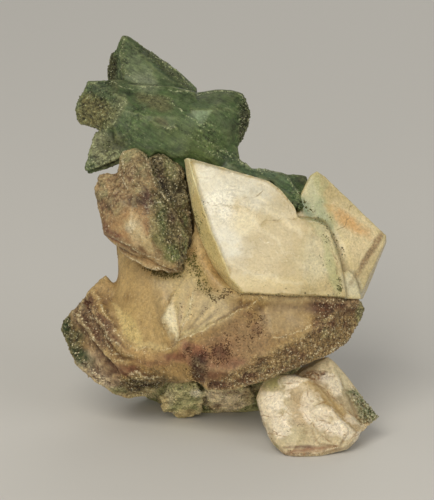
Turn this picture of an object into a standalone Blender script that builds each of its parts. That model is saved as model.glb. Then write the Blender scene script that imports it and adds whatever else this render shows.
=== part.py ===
"""A heulandite specimen: a hand-sized group of cream and green crystals on a little matrix.

Every crystal is a convex body with flat faces, given by its corners. Crystals that grew through one
another are united into one solid, and neighbours that only touch keep a hair's gap.
A corner is given as it is seen from the front of the specimen, in millimetres: how far right and how far
up it lies on the picture plane through the middle of the group, and how near it stands to the viewer.
"""

import math

import bmesh
import bpy
from mathutils import Vector, noise

MM = 0.001

# Driving dimensions, in millimetres and degrees.
SIGHT_ELEVATION = 18.0  # the viewer looks down on the group by this much
SIGHT_DISTANCE = 600.0  # from the viewer to the picture plane
SIGHT_CENTRE = (-1.2, 0.8, 34.6)  # where the sight line meets the picture plane
SPECIMEN_SCALE = 1.0  # real size over the size of the corner lists
CONTACT_GAP = 0.3  # between two solids that touch
FLOOR_REACH = 200.0  # width of the block that trims the feet flat
FLOOR_DEPTH = 60.0  # and its thickness
PIT_SCALE = 0.45  # pits per millimetre
LUMP_CORNERS = 18  # corners of a rounded lump

TILT = math.radians(SIGHT_ELEVATION)
RIGHT = Vector((1.0, 0.0, 0.0))
UP = Vector((0.0, math.sin(TILT), math.cos(TILT)))
TOWARDS = Vector((0.0, -math.cos(TILT), math.sin(TILT)))
GOLDEN_ANGLE = math.pi * (3.0 - math.sqrt(5.0))


def seen(right, up, near):
    """The point that appears at (right, up) on the picture plane and stands near mm before it."""
    shrink = 1.0 - near / SIGHT_DISTANCE
    point = RIGHT * (right * shrink) + UP * (up * shrink) + TOWARDS * near
    return (Vector(SIGHT_CENTRE) + point) * (MM * SPECIMEN_SCALE)


def on_face(plane, corners):
    """The corners (right, up) set on a flat face whose near is level + across * right + along * up."""
    level, across, along = plane
    return [(right, up, level + across * right + along * up) for right, up in corners]


def clear_scene():
    for obj in list(bpy.data.objects):
        bpy.data.objects.remove(obj)


def lump(right, up, near, size, stretch=1.0):
    """The corners of a rounded lump: points spread over a ball by the golden angle, each moved in or out."""
    corners = []
    for step in range(LUMP_CORNERS):
        height = 1.0 - 2.0 * (step + 0.5) / LUMP_CORNERS
        ring = math.sqrt(1.0 - height * height)
        turn = step * GOLDEN_ANGLE
        across = Vector((ring * math.cos(turn), height, ring * math.sin(turn)))
        radius = size * (1.0 + 0.22 * noise.noise(across * 1.7 + Vector((right, up, near))))
        corners.append(
            (right + radius * across.x, up + radius * stretch * across.y, near + radius * across.z)
        )
    return corners


def hull(corners):
    """The convex body around the corners, as a mesh."""
    shape = bmesh.new()
    for corner in corners:
        shape.verts.new(seen(*corner))
    found = bmesh.ops.convex_hull(shape, input=shape.verts, use_existing_faces=False)
    inner = set(found["geom_interior"]) | set(found["geom_unused"])
    loose = [v for v in inner if isinstance(v, bmesh.types.BMVert)]
    bmesh.ops.delete(shape, geom=loose, context="VERTS")
    bmesh.ops.recalc_face_normals(shape, faces=shape.faces)
    mesh = bpy.data.meshes.new("hull")
    shape.to_mesh(mesh)
    shape.free()
    return mesh


def grown(mesh, gap):
    """A copy of a convex mesh with its faces moved out by gap."""
    shape = bmesh.new()
    shape.from_mesh(mesh)
    shape.normal_update()
    moves = [(v, v.normal * gap * MM * min(v.calc_shell_factor(), 2.5)) for v in shape.verts]
    for vertex, move in moves:
        vertex.co += move
    copy = bpy.data.meshes.new("grown")
    shape.to_mesh(copy)
    shape.free()
    return copy


def helpers(meshes):
    """A collection of hidden objects for a Boolean to work with."""
    collection = bpy.data.collections.new("helpers")
    bpy.context.scene.collection.children.link(collection)
    for mesh in meshes:
        obj = bpy.data.objects.new("helper", mesh)
        obj.hide_render = True
        obj.display_type = "WIRE"
        collection.objects.link(obj)
    return collection


def combined(mesh, meshes, operation):
    """The mesh after a Boolean with all the others. The helpers are removed again."""
    obj = bpy.data.objects.new("working", mesh)
    bpy.context.scene.collection.objects.link(obj)
    collection = helpers(meshes)
    boolean = obj.modifiers.new("Boolean", "BOOLEAN")
    boolean.operation = operation
    boolean.operand_type = "COLLECTION"
    boolean.collection = collection
    boolean.solver = "EXACT"
    bpy.context.view_layer.update()
    graph = bpy.context.evaluated_depsgraph_get()
    result = bpy.data.meshes.new_from_object(obj.evaluated_get(graph))
    for helper in list(collection.objects):
        bpy.data.objects.remove(helper)
    bpy.data.collections.remove(collection)
    bpy.data.objects.remove(obj)
    return result


def floor_block():
    """The block below the surface that the specimen stands on."""
    size = Vector((FLOOR_REACH, FLOOR_REACH, FLOOR_DEPTH)) * MM
    shape = bmesh.new()
    bmesh.ops.create_cube(shape, size=1.0)
    for vertex in shape.verts:
        vertex.co = Vector((vertex.co.x * size.x, vertex.co.y * size.y, (vertex.co.z - 0.5) * size.z))
    mesh = bpy.data.meshes.new("floor")
    shape.to_mesh(mesh)
    shape.free()
    return mesh


def islands(shape):
    """The connected pieces of a bmesh, as lists of vertices."""
    left = set(shape.verts)
    found = []
    while left:
        stack = [left.pop()]
        piece = list(stack)
        while stack:
            for edge in stack.pop().link_edges:
                for vertex in edge.verts:
                    if vertex in left:
                        left.remove(vertex)
                        piece.append(vertex)
                        stack.append(vertex)
        found.append(piece)
    return found


def keep_largest(shape):
    """Drops the crumbs that carving leaves beside the main body."""
    pieces = sorted(islands(shape), key=len)
    for piece in pieces[:-1]:
        bmesh.ops.delete(shape, geom=piece, context="VERTS")


def depth_at(point, patches):
    """How deep the surface is pitted at a point: the deepest patch that reaches it, fading to its rim."""
    depth = 0.0
    for right, up, near, radius, deepest in patches:
        reach = radius * MM * SPECIMEN_SCALE
        away = (point - seen(right, up, near)).length / reach
        if away < 1.0:
            depth = max(depth, deepest * min(1.0, 2.5 * (1.0 - away)))
    return depth


def roughened(shape, patches, longest):
    """Splits the long edges inside the patches, then sinks the surface there by seeded noise."""
    limit = longest * MM * SPECIMEN_SCALE
    for _ in range(5):
        edges = []
        for edge in shape.edges:
            middle = (edge.verts[0].co + edge.verts[1].co) / 2
            if edge.calc_length() > limit and depth_at(middle, patches) > 0:
                edges.append(edge)
        if not edges:
            break
        bmesh.ops.subdivide_edges(shape, edges=edges, cuts=1)
        bmesh.ops.triangulate(shape, faces=shape.faces)
    shape.normal_update()
    moves = []
    for vertex in shape.verts:
        depth = depth_at(vertex.co, patches)
        if depth > 0 and vertex.co.z > 0.5 * MM:
            place = vertex.co / (MM * SPECIMEN_SCALE) * PIT_SCALE
            share = 0.5 + 0.6 * noise.noise(place) + 0.4 * noise.noise(place * 2.3)
            moves.append((vertex, vertex.normal * (-depth * MM * max(0.0, min(1.0, share)))))
    for vertex, move in moves:
        vertex.co += move


def material(name, colour, roughness):
    made = bpy.data.materials.new(name)
    made.use_nodes = True
    shader = made.node_tree.nodes["Principled BSDF"]
    shader.inputs["Base Color"].default_value = (*colour, 1.0)
    shader.inputs["Roughness"].default_value = roughness
    shader.inputs["Metallic"].default_value = 0.0
    return made


def specimen_piece(name, crystals, finish, neighbours=(), patches=(), longest=2.0):
    """One solid: crystals united, the neighbours' room taken out, trimmed at the floor, then roughened.

    It returns the crystals, so that later pieces can keep clear of them.
    """
    bodies = [hull(corners) for corners in crystals]
    mesh = bodies[0].copy()
    if len(bodies) > 1:
        mesh = combined(mesh, bodies[1:], "UNION")
    room = [grown(body, CONTACT_GAP) for piece in neighbours for body in piece]
    mesh = combined(mesh, [*room, floor_block()], "DIFFERENCE")
    shape = bmesh.new()
    shape.from_mesh(mesh)
    bmesh.ops.remove_doubles(shape, verts=shape.verts, dist=0.005 * MM)
    bmesh.ops.dissolve_degenerate(shape, edges=shape.edges, dist=0.01 * MM)
    keep_largest(shape)
    bmesh.ops.triangulate(shape, faces=shape.faces)
    if patches:
        roughened(shape, patches, longest)
    bmesh.ops.triangulate(shape, faces=shape.faces)
    final = bpy.data.meshes.new(name)
    shape.to_mesh(final)
    shape.free()
    final.materials.clear()
    final.materials.append(finish)
    obj = bpy.data.objects.new(name, final)
    bpy.context.scene.collection.objects.link(obj)
    return bodies


# The big cream tablets on the right: a pointed blade over a broad foot, and a pale one behind them.
MAIN_FACE = (11.6, 0.03, -0.185)  # level, slope to the right and slope upwards of the large face
MAIN_BLADE = [
    *on_face(MAIN_FACE, [(-5.2, 18.3), (2.8, 15.6), (10.2, 13.9), (13.1, 11.7), (15.6, 8.6), (16.1, 6.2)]),
    *on_face(MAIN_FACE, [(-5.3, 17.3), (-3.6, 11.4), (-1.0, 3.6), (3.0, -5.7), (9.0, -4.0)]),
    (5.0, 5.0, 11.5), (-6.2, 18.6, 6.6), (-6.7, 18.2, 5.5), (-6.2, 13.9, 5.5), (-5.1, 9.3, 6.0),
    (-4.5, 5.8, 6.4), (-3.1, 1.2, 6.6), (-0.8, -3.4, 7.0), (2.1, -7.4, 7.6), (11.0, 13.4, 3.0),
    (15.6, 6.0, 4.0), (8.0, -6.0, 2.0), (-2.0, 13.0, -1.0),
]
FOOT_OF_FACE = (11.2, 0.03, -0.185)  # the same face below the blade, 0.4 mm lower
MAIN_FOOT = [
    *on_face(FOOT_OF_FACE, [(11.0, 7.6), (-1.0, 3.6), (3.0, -5.7), (5.2, -8.5), (11.4, -8.9), (17.6, 5.8)]),
    (18.0, -9.0, 12.6), (20.2, 5.6, 9.4), (22.2, 4.6, 8.8), (23.4, 0.6, 9.2), (24.8, -3.0, 9.6),
    (25.8, -9.3, 10.2), (-3.1, 1.2, 6.6), (-0.8, -3.4, 7.0), (2.1, -7.4, 7.6), (4.4, -9.1, 9.0),
    (11.4, -9.6, 8.4), (22.8, -9.8, 7.2), (26.2, -9.9, 6.6), (24.2, 0.4, 4.0), (21.0, 6.0, 4.0),
    (12.0, 6.0, -2.0), (21.0, -7.0, -1.0), (4.0, -7.0, 0.0),
]
RIGHT_TABLET = [
    (16.8, 11.6, 2.5), (18.6, 15.0, 1.8), (20.0, 15.9, 1.4), (21.7, 14.7, 1.2), (25.7, 9.8, 1.6),
    (28.6, 6.6, 1.4), (31.5, 4.5, 1.2), (33.8, 3.0, 1.0), (33.5, 1.5, 1.6), (31.5, -2.2, 3.0),
    (29.3, -7.4, 5.0), (28.4, -9.8, 5.5), (20.0, -8.0, 6.0), (15.0, 4.0, 4.2), (26.0, 1.0, 5.4),
    (23.0, 6.0, 4.6), (34.0, 1.6, -1.0), (32.1, -2.7, 0.0), (30.0, -7.6, 1.6), (29.2, -9.9, 2.0),
    (18.0, 12.0, -5.0), (20.4, 14.0, -4.0), (27.0, 7.0, -6.0), (32.0, 2.5, -4.5), (28.0, -8.0, -3.0),
    (18.0, -6.0, -6.0),
]
RIGHT_CHIP = [
    (23.9, -6.4, 8.4), (26.0, -3.8, 7.8), (27.6, -5.0, 7.4), (29.0, -9.9, 7.6), (25.4, -9.7, 9.2),
    (26.0, -4.2, 3.0), (28.9, -9.2, 3.0), (24.5, -9.2, 3.5),
]

# The mottled pair on the left shoulder, with rounded lumps on both and two thin ledges below.
FRONT_KNOB = [
    (-24.7, 12.4, 6.0), (-24.0, 14.0, 6.2), (-23.1, 14.8, 6.6), (-24.0, 8.5, 7.4), (-23.1, 6.2, 8.0),
    (-22.7, 3.2, 8.6), (-21.8, 2.2, 9.0), (-20.0, 0.9, 9.8), (-16.9, -0.6, 11.6), (-13.4, -2.0, 11.8),
    (-9.4, -3.4, 10.4), (-7.0, -3.4, 8.6), (-5.9, -1.6, 7.8), (-5.3, 2.8, 7.2), (-8.5, 8.1, 9.6),
    (-11.2, 12.2, 9.8), (-12.6, 14.6, 9.6), (-17.5, 5.0, 14.0), (-14.0, 1.5, 13.8), (-16.5, 11.5, 12.2),
    (-11.8, 5.5, 12.6), (-22.6, 12.0, 1.0), (-20.0, 3.0, 3.0), (-9.0, -2.0, 3.0), (-7.0, 5.0, 3.0),
    (-13.0, 14.0, 2.0), (-20.0, 15.6, 7.4),
]
FRONT_KNOB_TOP = [
    (-20.0, 16.4, 8.0), (-19.7, 19.0, 7.4), (-18.4, 20.0, 7.0), (-16.2, 20.4, 6.8), (-14.6, 19.5, 7.0),
    (-13.8, 18.2, 7.6), (-13.3, 16.2, 8.6), (-12.4, 13.6, 9.4), (-17.0, 17.0, 10.2), (-16.0, 13.0, 12.0),
    (-20.4, 13.0, 9.6), (-18.6, 18.0, 2.0), (-14.6, 18.0, 2.0), (-14.0, 12.0, 2.0), (-20.0, 13.0, 2.0),
]
KNOB_LEDGE_UPPER = [
    (-22.4, 2.8, 8.0), (-20.6, 1.1, 9.6), (-17.4, -0.3, 11.6), (-15.2, -1.5, 12.0), (-19.0, 2.6, 11.8),
    (-16.0, 1.0, 12.9), (-21.4, 2.4, 5.0), (-15.6, -1.2, 6.0), (-15.0, 2.0, 8.0), (-20.0, 4.0, 8.0),
]
KNOB_LEDGE_LOWER = [
    (-19.4, -0.4, 8.2), (-17.2, -1.9, 9.8), (-14.8, -3.2, 10.4), (-12.0, -4.1, 10.2), (-8.8, -4.5, 9.2),
    (-6.8, -4.2, 7.4), (-20.0, 1.4, 7.0), (-16.0, 1.0, 11.0), (-8.4, -1.4, 9.8), (-18.8, 0.0, 3.0),
    (-12.0, -2.8, 3.4), (-7.4, -3.0, 3.0), (-8.0, 2.0, 2.0),
]
KNOB_LUMPS = [
    lump(-22.2, 13.8, 6.4, 2.1), lump(-23.0, 11.0, 6.6, 1.9), lump(-16.8, 18.0, 7.0, 2.6),
    lump(-18.8, 9.5, 9.4, 3.6), lump(-13.4, 8.6, 9.2, 3.8), lump(-8.6, 2.4, 7.4, 3.4),
]
BACK_KNOB = [
    (-13.2, 18.6, 4.6), (-12.0, 19.4, 4.4), (-10.6, 19.3, 4.6), (-8.8, 17.8, 5.0), (-7.0, 15.6, 5.2),
    (-6.0, 13.3, 5.2), (-5.3, 9.3, 5.6), (-4.8, 5.8, 5.8), (-4.6, 2.0, 5.4), (-5.6, -1.5, 4.6),
    (-14.0, 14.0, 6.0), (-9.6, 14.0, 7.6), (-8.0, 6.0, 7.8), (-12.0, 2.0, 5.0), (-12.6, 16.0, -3.0),
    (-7.0, 13.0, -3.0), (-5.0, 4.0, -1.0), (-6.0, -1.0, 0.0), (-12.0, 4.0, -2.0),
]
BACK_KNOB_LUMPS = [
    lump(-11.6, 17.0, 4.6, 2.3), lump(-8.8, 14.8, 5.0, 2.9), lump(-7.4, 10.0, 5.4, 2.6),
]

# The pillar that carries the group, the fan of cream blades beside it, and the shallow bowl at its foot.
PILLAR = [
    (-19.9, 4.0, -2.0), (-19.9, -8.0, -1.4), (-20.2, -12.0, 0.4), (-17.2, 3.0, 3.0), (-16.4, -8.0, 4.8),
    (-16.8, -15.5, 6.0), (-9.5, 3.0, 6.0), (-10.2, -8.8, 7.4), (-9.8, -14.0, 8.6), (-8.6, -18.0, 9.8),
    (-18.4, -17.0, 4.6), (-16.5, -20.5, 7.2), (-16.0, 12.0, -9.0), (-15.0, -16.0, -9.0),
    (-5.0, 12.0, -9.0), (-4.0, -18.0, -7.0),
]
FAN = [
    (-10.0, -8.6, 7.2), (-9.6, -14.0, 8.8), (-7.2, -19.4, 9.6), (-6.0, 6.0, 4.4), (2.0, -6.0, 8.4),
    (10.6, -9.3, 9.8), (10.2, -10.2, 10.3), (6.2, -12.4, 10.7), (-0.6, -16.4, 10.9), (0.0, 8.0, -6.0),
    (10.0, -9.0, -6.0), (-4.0, -19.0, -6.0),
]
FAN_EDGE = [
    (-11.4, -11.4, 7.8), (-10.6, -13.8, 9.6), (-9.0, -17.6, 10.6), (-9.2, -9.0, 8.4), (-5.4, -12.0, 9.6),
    (-6.0, -16.8, 11.3), (-8.0, -12.0, 3.0), (-8.0, -18.6, 4.0), (-12.0, -16.0, 4.0),
]
BOWL = [
    (-19.6, -9.0, 1.4), (-23.6, -11.4, 1.4), (-21.2, -16.5, 4.4), (-18.2, -21.4, 7.2),
    (-14.4, -20.9, 8.2), (-8.0, -18.9, 9.8), (-10.0, -14.0, 7.6), (-16.0, -12.6, 4.6),
    (-20.0, -12.0, -8.0), (-8.0, -20.0, -6.0), (-18.0, -20.0, -4.0),
]
BOWL_FOOT = [
    (-18.2, -21.4, 6.6), (-12.6, -21.0, 8.6), (-9.4, -18.8, 9.6), (-7.4, -19.4, 10.4),
    (-5.0, -23.0, 10.8), (-4.2, -26.6, 9.8), (-8.4, -26.8, 6.0), (-13.6, -26.4, 5.0),
    (-17.0, -25.0, 4.6), (-12.0, -21.0, -6.0), (-4.0, -24.0, -6.0),
]
CORE = [
    (-14.0, 16.0, -1.0), (-2.0, 17.0, -0.5), (12.0, 8.0, -1.5), (17.0, -6.0, -1.5), (6.0, -18.0, -2.0),
    (-15.0, -16.0, -1.0), (-12.0, 15.0, -12.0), (4.0, 15.0, -13.0), (13.0, 5.0, -13.0),
    (11.0, -13.0, -14.0), (-8.0, -17.0, -14.0), (-16.0, -4.0, -12.0),
]

# The long slab across the front, and the layered crystal on the left whose plates climb to the pillar.
SLAB = [
    (-8.2, -18.9, 10.4), (-0.6, -16.0, 10.8), (6.2, -12.1, 10.4), (10.2, -9.7, 10.0), (22.6, -10.2, 9.0),
    (28.4, -10.5, 6.6), (30.0, -11.5, 4.6), (29.4, -13.6, 4.2), (28.4, -15.2, 4.6), (26.3, -18.8, 6.0),
    (22.8, -20.9, 8.2), (16.6, -23.0, 10.8), (11.4, -25.3, 11.6), (7.4, -27.2, 11.4), (2.8, -28.4, 10.8),
    (-1.8, -28.4, 9.8), (-4.4, -26.4, 9.6), (-6.6, -21.9, 10.6), (-2.6, -23.8, 12.8), (2.8, -24.4, 13.6),
    (11.4, -20.2, 13.8), (19.4, -16.0, 12.0), (24.4, -12.4, 10.0), (-6.0, -20.0, -3.0),
    (8.0, -11.0, -3.0), (22.0, -11.0, -5.0), (27.0, -13.6, -4.0), (20.0, -20.0, -2.0), (5.0, -25.0, 0.0),
    (-4.0, -24.0, -3.0),
]
STEP_OUTER = [
    (-24.8, -8.0, -1.4), (-25.9, -8.9, -0.6), (-28.8, -11.6, -0.8), (-31.0, -14.0, -1.2),
    (-31.9, -15.8, -1.4), (-31.0, -17.8, -1.0), (-29.6, -20.6, -0.6), (-28.6, -22.8, -0.2),
    (-26.4, -23.6, 1.0), (-24.6, -26.6, 0.4), (-21.2, -28.9, 0.0), (-17.9, -30.0, -0.6),
    (-14.4, -29.8, 0.2), (-10.6, -27.6, 3.0), (-8.0, -20.0, 5.0), (-20.0, -9.0, 0.8),
    (-21.0, -20.0, 3.8), (-15.0, -25.0, 4.4), (-22.0, -8.0, -5.0), (-28.0, -13.0, -8.0),
    (-27.0, -19.0, -8.0), (-18.0, -27.0, -11.0), (-9.0, -24.0, -8.0), (-12.0, -10.0, -10.0),
]
STEP_RIM = [
    (-22.2, -4.8, -1.6), (-23.4, -5.7, -0.8), (-26.2, -8.6, -0.2), (-26.4, -10.0, 0.8),
    (-24.0, -10.6, 1.6), (-20.2, -8.4, 1.0), (-20.8, -6.4, -0.2), (-22.0, -7.0, -4.6),
    (-25.0, -10.0, -4.8), (-18.0, -10.0, -5.0), (-19.0, -13.0, 0.0),
]
STEP_PLATE_LOW = [
    (-28.6, -13.4, 0.8), (-26.4, -15.4, 2.0), (-24.2, -17.8, 3.4), (-22.4, -21.0, 4.8),
    (-20.4, -22.6, 5.6), (-18.0, -22.4, 6.2), (-17.0, -26.0, 5.4), (-12.6, -27.0, 5.4),
    (-27.6, -10.8, 0.2), (-24.0, -11.0, 1.0), (-24.0, -12.0, -4.0), (-18.0, -24.0, -4.0),
    (-12.0, -22.0, -4.0), (-12.0, -21.0, 6.0),
]
STEP_PLATE_MIDDLE = [
    (-26.0, -11.0, 1.4), (-24.6, -13.0, 2.6), (-22.2, -16.4, 4.2), (-20.4, -19.4, 5.6),
    (-19.0, -21.4, 6.6), (-16.0, -21.2, 7.6), (-23.0, -10.6, 1.6), (-18.0, -16.0, 5.0),
    (-22.0, -13.0, -4.0), (-16.0, -20.0, -4.0),
]
STEP_PLATE_FOOT = [
    (-20.4, -22.4, 5.0), (-16.8, -23.4, 6.2), (-12.4, -23.0, 7.8), (-7.6, -23.8, 8.6),
    (-7.0, -25.8, 7.4), (-11.0, -26.2, 5.8), (-16.0, -27.4, 3.6), (-19.4, -26.4, 3.6),
    (-14.0, -24.0, -4.0), (-6.0, -22.0, -4.0),
]
RIGHT_STAY = [
    (12.0, -4.0, -6.0), (24.0, -4.0, -6.6), (27.0, -7.0, -5.6), (26.4, -12.4, -4.4), (12.0, -14.0, -5.0),
    (22.0, -6.0, -12.0), (14.0, -6.0, -13.0), (20.0, -14.0, -9.0), (27.0, -9.6, 0.0), (12.0, -9.6, 2.0),
    (27.4, -11.0, 3.4), (12.0, -11.0, 4.0),
]
BACK_BLADE_LEFT = [
    (-15.0, 13.0, -11.0), (-5.0, 15.0, -17.0), (2.0, 3.0, -20.0), (-7.0, -8.0, -19.0),
    (-18.0, -3.0, -12.5), (-12.0, 10.0, -8.0), (-4.0, 10.0, -8.0), (-2.0, -4.0, -8.0),
    (-14.0, -6.0, -8.0),
]
BACK_TABLETS = [
    [
        (-17.0, 9.0, -9.0), (-10.0, 13.0, -14.0), (-13.0, 2.0, -20.5), (-20.0, -2.0, -15.0),
        (-20.6, 3.0, -9.0), (-12.0, 4.0, -9.0), (-15.0, -3.0, -11.0),
    ],
    [
        (-6.0, -8.0, -17.0), (3.0, -6.0, -20.0), (6.0, -14.0, -22.0), (-2.0, -19.0, -22.5),
        (-10.0, -15.0, -18.5), (-4.0, -9.0, -12.0), (4.0, -13.0, -12.0), (-6.0, -17.0, -13.0),
    ],
    [
        (8.0, 4.0, -16.0), (15.0, 1.0, -18.5), (17.6, -7.0, -17.5), (12.0, -10.0, -19.5),
        (6.0, -4.0, -19.0), (13.0, 2.0, -10.0), (15.0, -8.0, -10.0), (7.0, -3.0, -12.0),
    ],
    [
        (-22.0, -10.0, -7.0), (-15.0, -7.0, -15.0), (-13.0, -14.0, -19.0), (-22.0, -20.0, -14.0),
        (-26.0, -16.0, -9.0), (-16.0, -10.0, -7.0), (-18.0, -18.0, -7.0),
    ],
]
BACK_BLADE_RIGHT = [
    (3.0, 11.0, -14.0), (14.0, 6.0, -10.5), (17.5, -6.0, -11.0), (9.0, -13.0, -17.5), (1.0, -5.0, -18.0),
    (5.0, 8.0, -7.0), (14.0, 2.0, -6.0), (14.0, -8.0, -6.0), (4.0, -10.0, -7.0),
]

# The matrix: lumps that show below the slab, and the rock behind them.
LUMP_LEFT = [
    (-10.4, -26.0, 2.6), (-6.6, -25.6, 3.4), (-11.9, -29.6, -1.6), (-11.7, -31.2, -3.6),
    (-11.2, -32.6, -5.4), (-9.4, -33.3, -6.6), (-7.6, -33.8, -7.4), (-5.2, -33.6, -7.0),
    (-3.0, -33.0, -6.0), (-2.2, -30.0, -1.0), (-3.6, -26.4, 4.0), (-7.6, -29.4, 2.2),
    (-9.0, -26.0, -6.0), (-4.0, -27.0, -7.0), (-8.0, -31.0, -11.0),
]
LUMP_RIGHT = [
    (-3.0, -27.0, 3.4), (1.6, -28.2, 5.4), (6.4, -27.0, 5.0), (-1.6, -31.8, -4.2), (0.8, -32.4, -4.8),
    (3.2, -32.6, -5.0), (5.8, -32.0, -3.8), (7.6, -30.6, -0.8), (8.0, -29.6, 0.8), (3.4, -30.2, 2.0),
    (-0.6, -30.4, 0.4), (-1.0, -28.0, -7.0), (6.0, -28.0, -7.0), (2.0, -31.0, -10.0),
]
ROCK = [
    (-13.0, -22.0, 0.0), (-4.0, -24.0, 2.0), (8.0, -24.0, 2.0), (15.0, -18.0, -2.0), (17.0, -24.0, -7.0),
    (15.0, -31.0, -13.0), (6.0, -33.0, -11.0), (-6.0, -33.0, -10.0), (-14.0, -29.8, -18.0),
    (-18.0, -27.0, -15.0), (-17.0, -18.0, -9.0), (-10.0, -12.0, -15.0), (6.0, -12.0, -17.0),
    (13.0, -16.0, -16.0), (12.0, -29.4, -22.0), (-10.0, -29.4, -22.5), (-15.0, -24.0, -19.0),
    (0.0, -22.0, -23.0),
]

# The tablet under the right end of the slab, which the group stands on in front.
FOOT_FACE = [
    (8.0, -29.2, 8.4), (9.1, -26.3, 7.8), (12.0, -24.9, 7.6), (18.9, -25.6, 8.6), (27.0, -36.0, 11.0),
    (28.2, -37.0, 10.6), (25.7, -39.2, 12.2), (20.0, -40.5, 13.4), (16.0, -40.7, 13.6),
    (13.6, -40.3, 13.4), (11.4, -38.2, 12.4), (9.7, -34.4, 10.6), (15.0, -34.0, 12.2),
    (20.0, -34.0, 12.2), (28.6, -37.5, 8.8), (26.0, -40.0, 10.8), (20.4, -41.4, 12.4),
    (16.2, -41.6, 12.6), (13.4, -41.0, 12.2), (11.0, -38.8, 10.8), (9.2, -34.8, 8.6), (7.8, -29.6, 6.4),
    (12.0, -25.0, 2.0), (20.0, -25.0, 3.0), (16.0, -39.0, 7.6), (24.0, -37.4, 5.0), (11.0, -33.0, 4.0),
]
FOOT_PLATES = [
    [
        (8.6, -29.4, 8.8), (10.4, -28.0, 8.6), (15.6, -31.0, 11.2), (17.2, -36.6, 13.2),
        (15.0, -40.2, 13.9), (12.2, -38.6, 12.9), (9.9, -34.2, 11.0), (12.0, -32.0, 6.0),
        (15.0, -37.0, 8.0),
    ],
    [
        (18.0, -31.6, 11.4), (22.4, -31.2, 10.8), (26.2, -36.2, 11.9), (24.4, -39.2, 12.9),
        (20.2, -38.4, 13.4), (19.0, -35.0, 12.8), (21.0, -33.0, 6.0), (23.0, -37.0, 7.0),
    ],
]
FOOT_SIDE = [
    (18.9, -25.8, 8.2), (22.3, -21.2, 5.4), (24.0, -22.8, 4.8), (26.3, -26.9, 4.6), (28.6, -30.3, 4.8),
    (32.0, -32.6, 4.8), (32.7, -33.5, 5.4), (30.9, -35.2, 7.6), (28.4, -37.0, 9.8), (27.2, -35.4, 10.4),
    (14.0, -26.0, 6.4), (18.0, -34.0, 9.6), (18.0, -22.0, 0.0), (24.0, -24.0, -0.4), (30.0, -32.0, 1.0),
    (27.0, -35.0, 3.4), (16.0, -33.0, 2.0),
]

# The green group on top.
GREEN_PEAK = [
    (-18.8, 42.9, -4.0), (-17.5, 42.8, -4.4), (-13.2, 39.9, -4.6), (-9.9, 37.8, -4.2),
    (-7.3, 35.5, -3.6), (-5.3, 33.5, -3.2), (-3.9, 32.3, -3.2), (-19.7, 41.7, -4.2), (-20.2, 40.1, -4.8),
    (-19.2, 38.8, -2.6), (-18.8, 35.0, -0.6), (-18.2, 30.0, 0.6), (-11.0, 29.0, 1.6), (-5.0, 31.0, -0.4),
    (-13.0, 36.6, -1.2), (-18.0, 39.0, -11.0), (-12.0, 36.0, -12.5), (-5.0, 32.5, -9.0),
    (-20.0, 28.0, -9.0), (-12.0, 26.0, -12.0), (-4.0, 28.0, -8.0),
]
GREEN_PEAK_FLANK = [
    (-20.2, 40.0, -4.9), (-21.4, 39.4, -6.0), (-21.9, 37.6, -6.2), (-22.1, 35.8, -6.2),
    (-22.0, 32.6, -5.6), (-19.6, 38.4, -3.4), (-19.4, 34.0, -2.2), (-19.0, 29.0, -2.0),
    (-18.0, 38.0, -11.0), (-20.6, 30.0, -11.0), (-16.0, 30.0, -6.0),
]
GREEN_TABLET = [
    (-26.0, 33.9, 1.0), (-23.2, 33.9, 0.8), (-19.6, 34.2, 0.2), (-17.4, 33.4, 0.2), (-26.2, 31.8, 1.6),
    (-28.0, 30.2, 1.6), (-28.5, 28.2, 2.0), (-28.4, 26.1, 2.0), (-27.7, 25.1, 2.2), (-26.0, 24.5, 2.6),
    (-24.4, 24.2, 2.8), (-20.6, 31.6, 3.4), (-22.6, 26.4, 4.4), (-17.4, 29.2, 4.2), (-18.0, 22.6, 4.2),
    (-26.6, 29.6, -3.6), (-26.4, 26.4, -3.4), (-24.0, 32.4, -4.6), (-14.0, 31.0, -6.0),
    (-14.0, 24.0, -6.0), (-14.0, 28.0, 3.6),
]
GREEN_BODY = [
    (-21.0, 28.6, 3.8), (-17.6, 33.2, 0.8), (-9.0, 32.8, 1.2), (-4.4, 31.6, 1.6), (-3.2, 24.8, 5.2),
    (-6.0, 18.6, 4.4), (-14.0, 17.8, 3.8), (-20.4, 21.8, 4.4), (-14.0, 26.6, 5.8), (-8.6, 26.4, 5.6),
    (-18.0, 30.0, -8.0), (-2.0, 30.0, -8.0), (-2.0, 19.0, -8.0), (-18.0, 20.0, -7.0), (-11.0, 30.4, 3.2),
]
GREEN_END = [
    (-6.2, 31.2, 0.2), (-2.8, 31.6, 0.0), (0.0, 32.2, -0.4), (2.8, 32.1, -0.8), (5.0, 31.5, -1.0),
    (5.8, 30.6, -1.0), (6.4, 29.0, -1.0), (6.8, 27.5, -0.8), (6.6, 25.2, -0.4), (6.1, 23.7, 0.0),
    (5.4, 22.1, 0.4), (4.2, 20.4, 0.8), (-5.4, 28.1, 4.9), (-0.8, 28.1, 4.9), (-3.2, 24.8, 5.4),
    (2.4, 23.2, 3.8), (3.6, 28.2, 2.6), (-7.0, 21.0, 4.4), (5.4, 30.0, -7.0), (5.8, 25.0, -7.6),
    (3.0, 21.0, -7.0), (-6.0, 30.0, -9.0), (-6.0, 20.0, -9.0), (1.0, 18.8, 2.2),
]
GREEN_ROOT = [
    (-16.6, 20.6, 3.2), (-8.0, 20.8, 4.6), (-1.0, 22.2, 4.2), (4.4, 20.6, 1.6), (4.6, 18.4, 1.2),
    (2.0, 14.0, 0.8), (-6.0, 15.4, 2.2), (-14.0, 15.6, 2.0), (-15.0, 23.0, -9.0), (2.0, 23.0, -10.0),
    (3.0, 14.0, -8.0), (-12.0, 13.0, -8.0), (-1.0, 18.6, 3.4),
]
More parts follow.
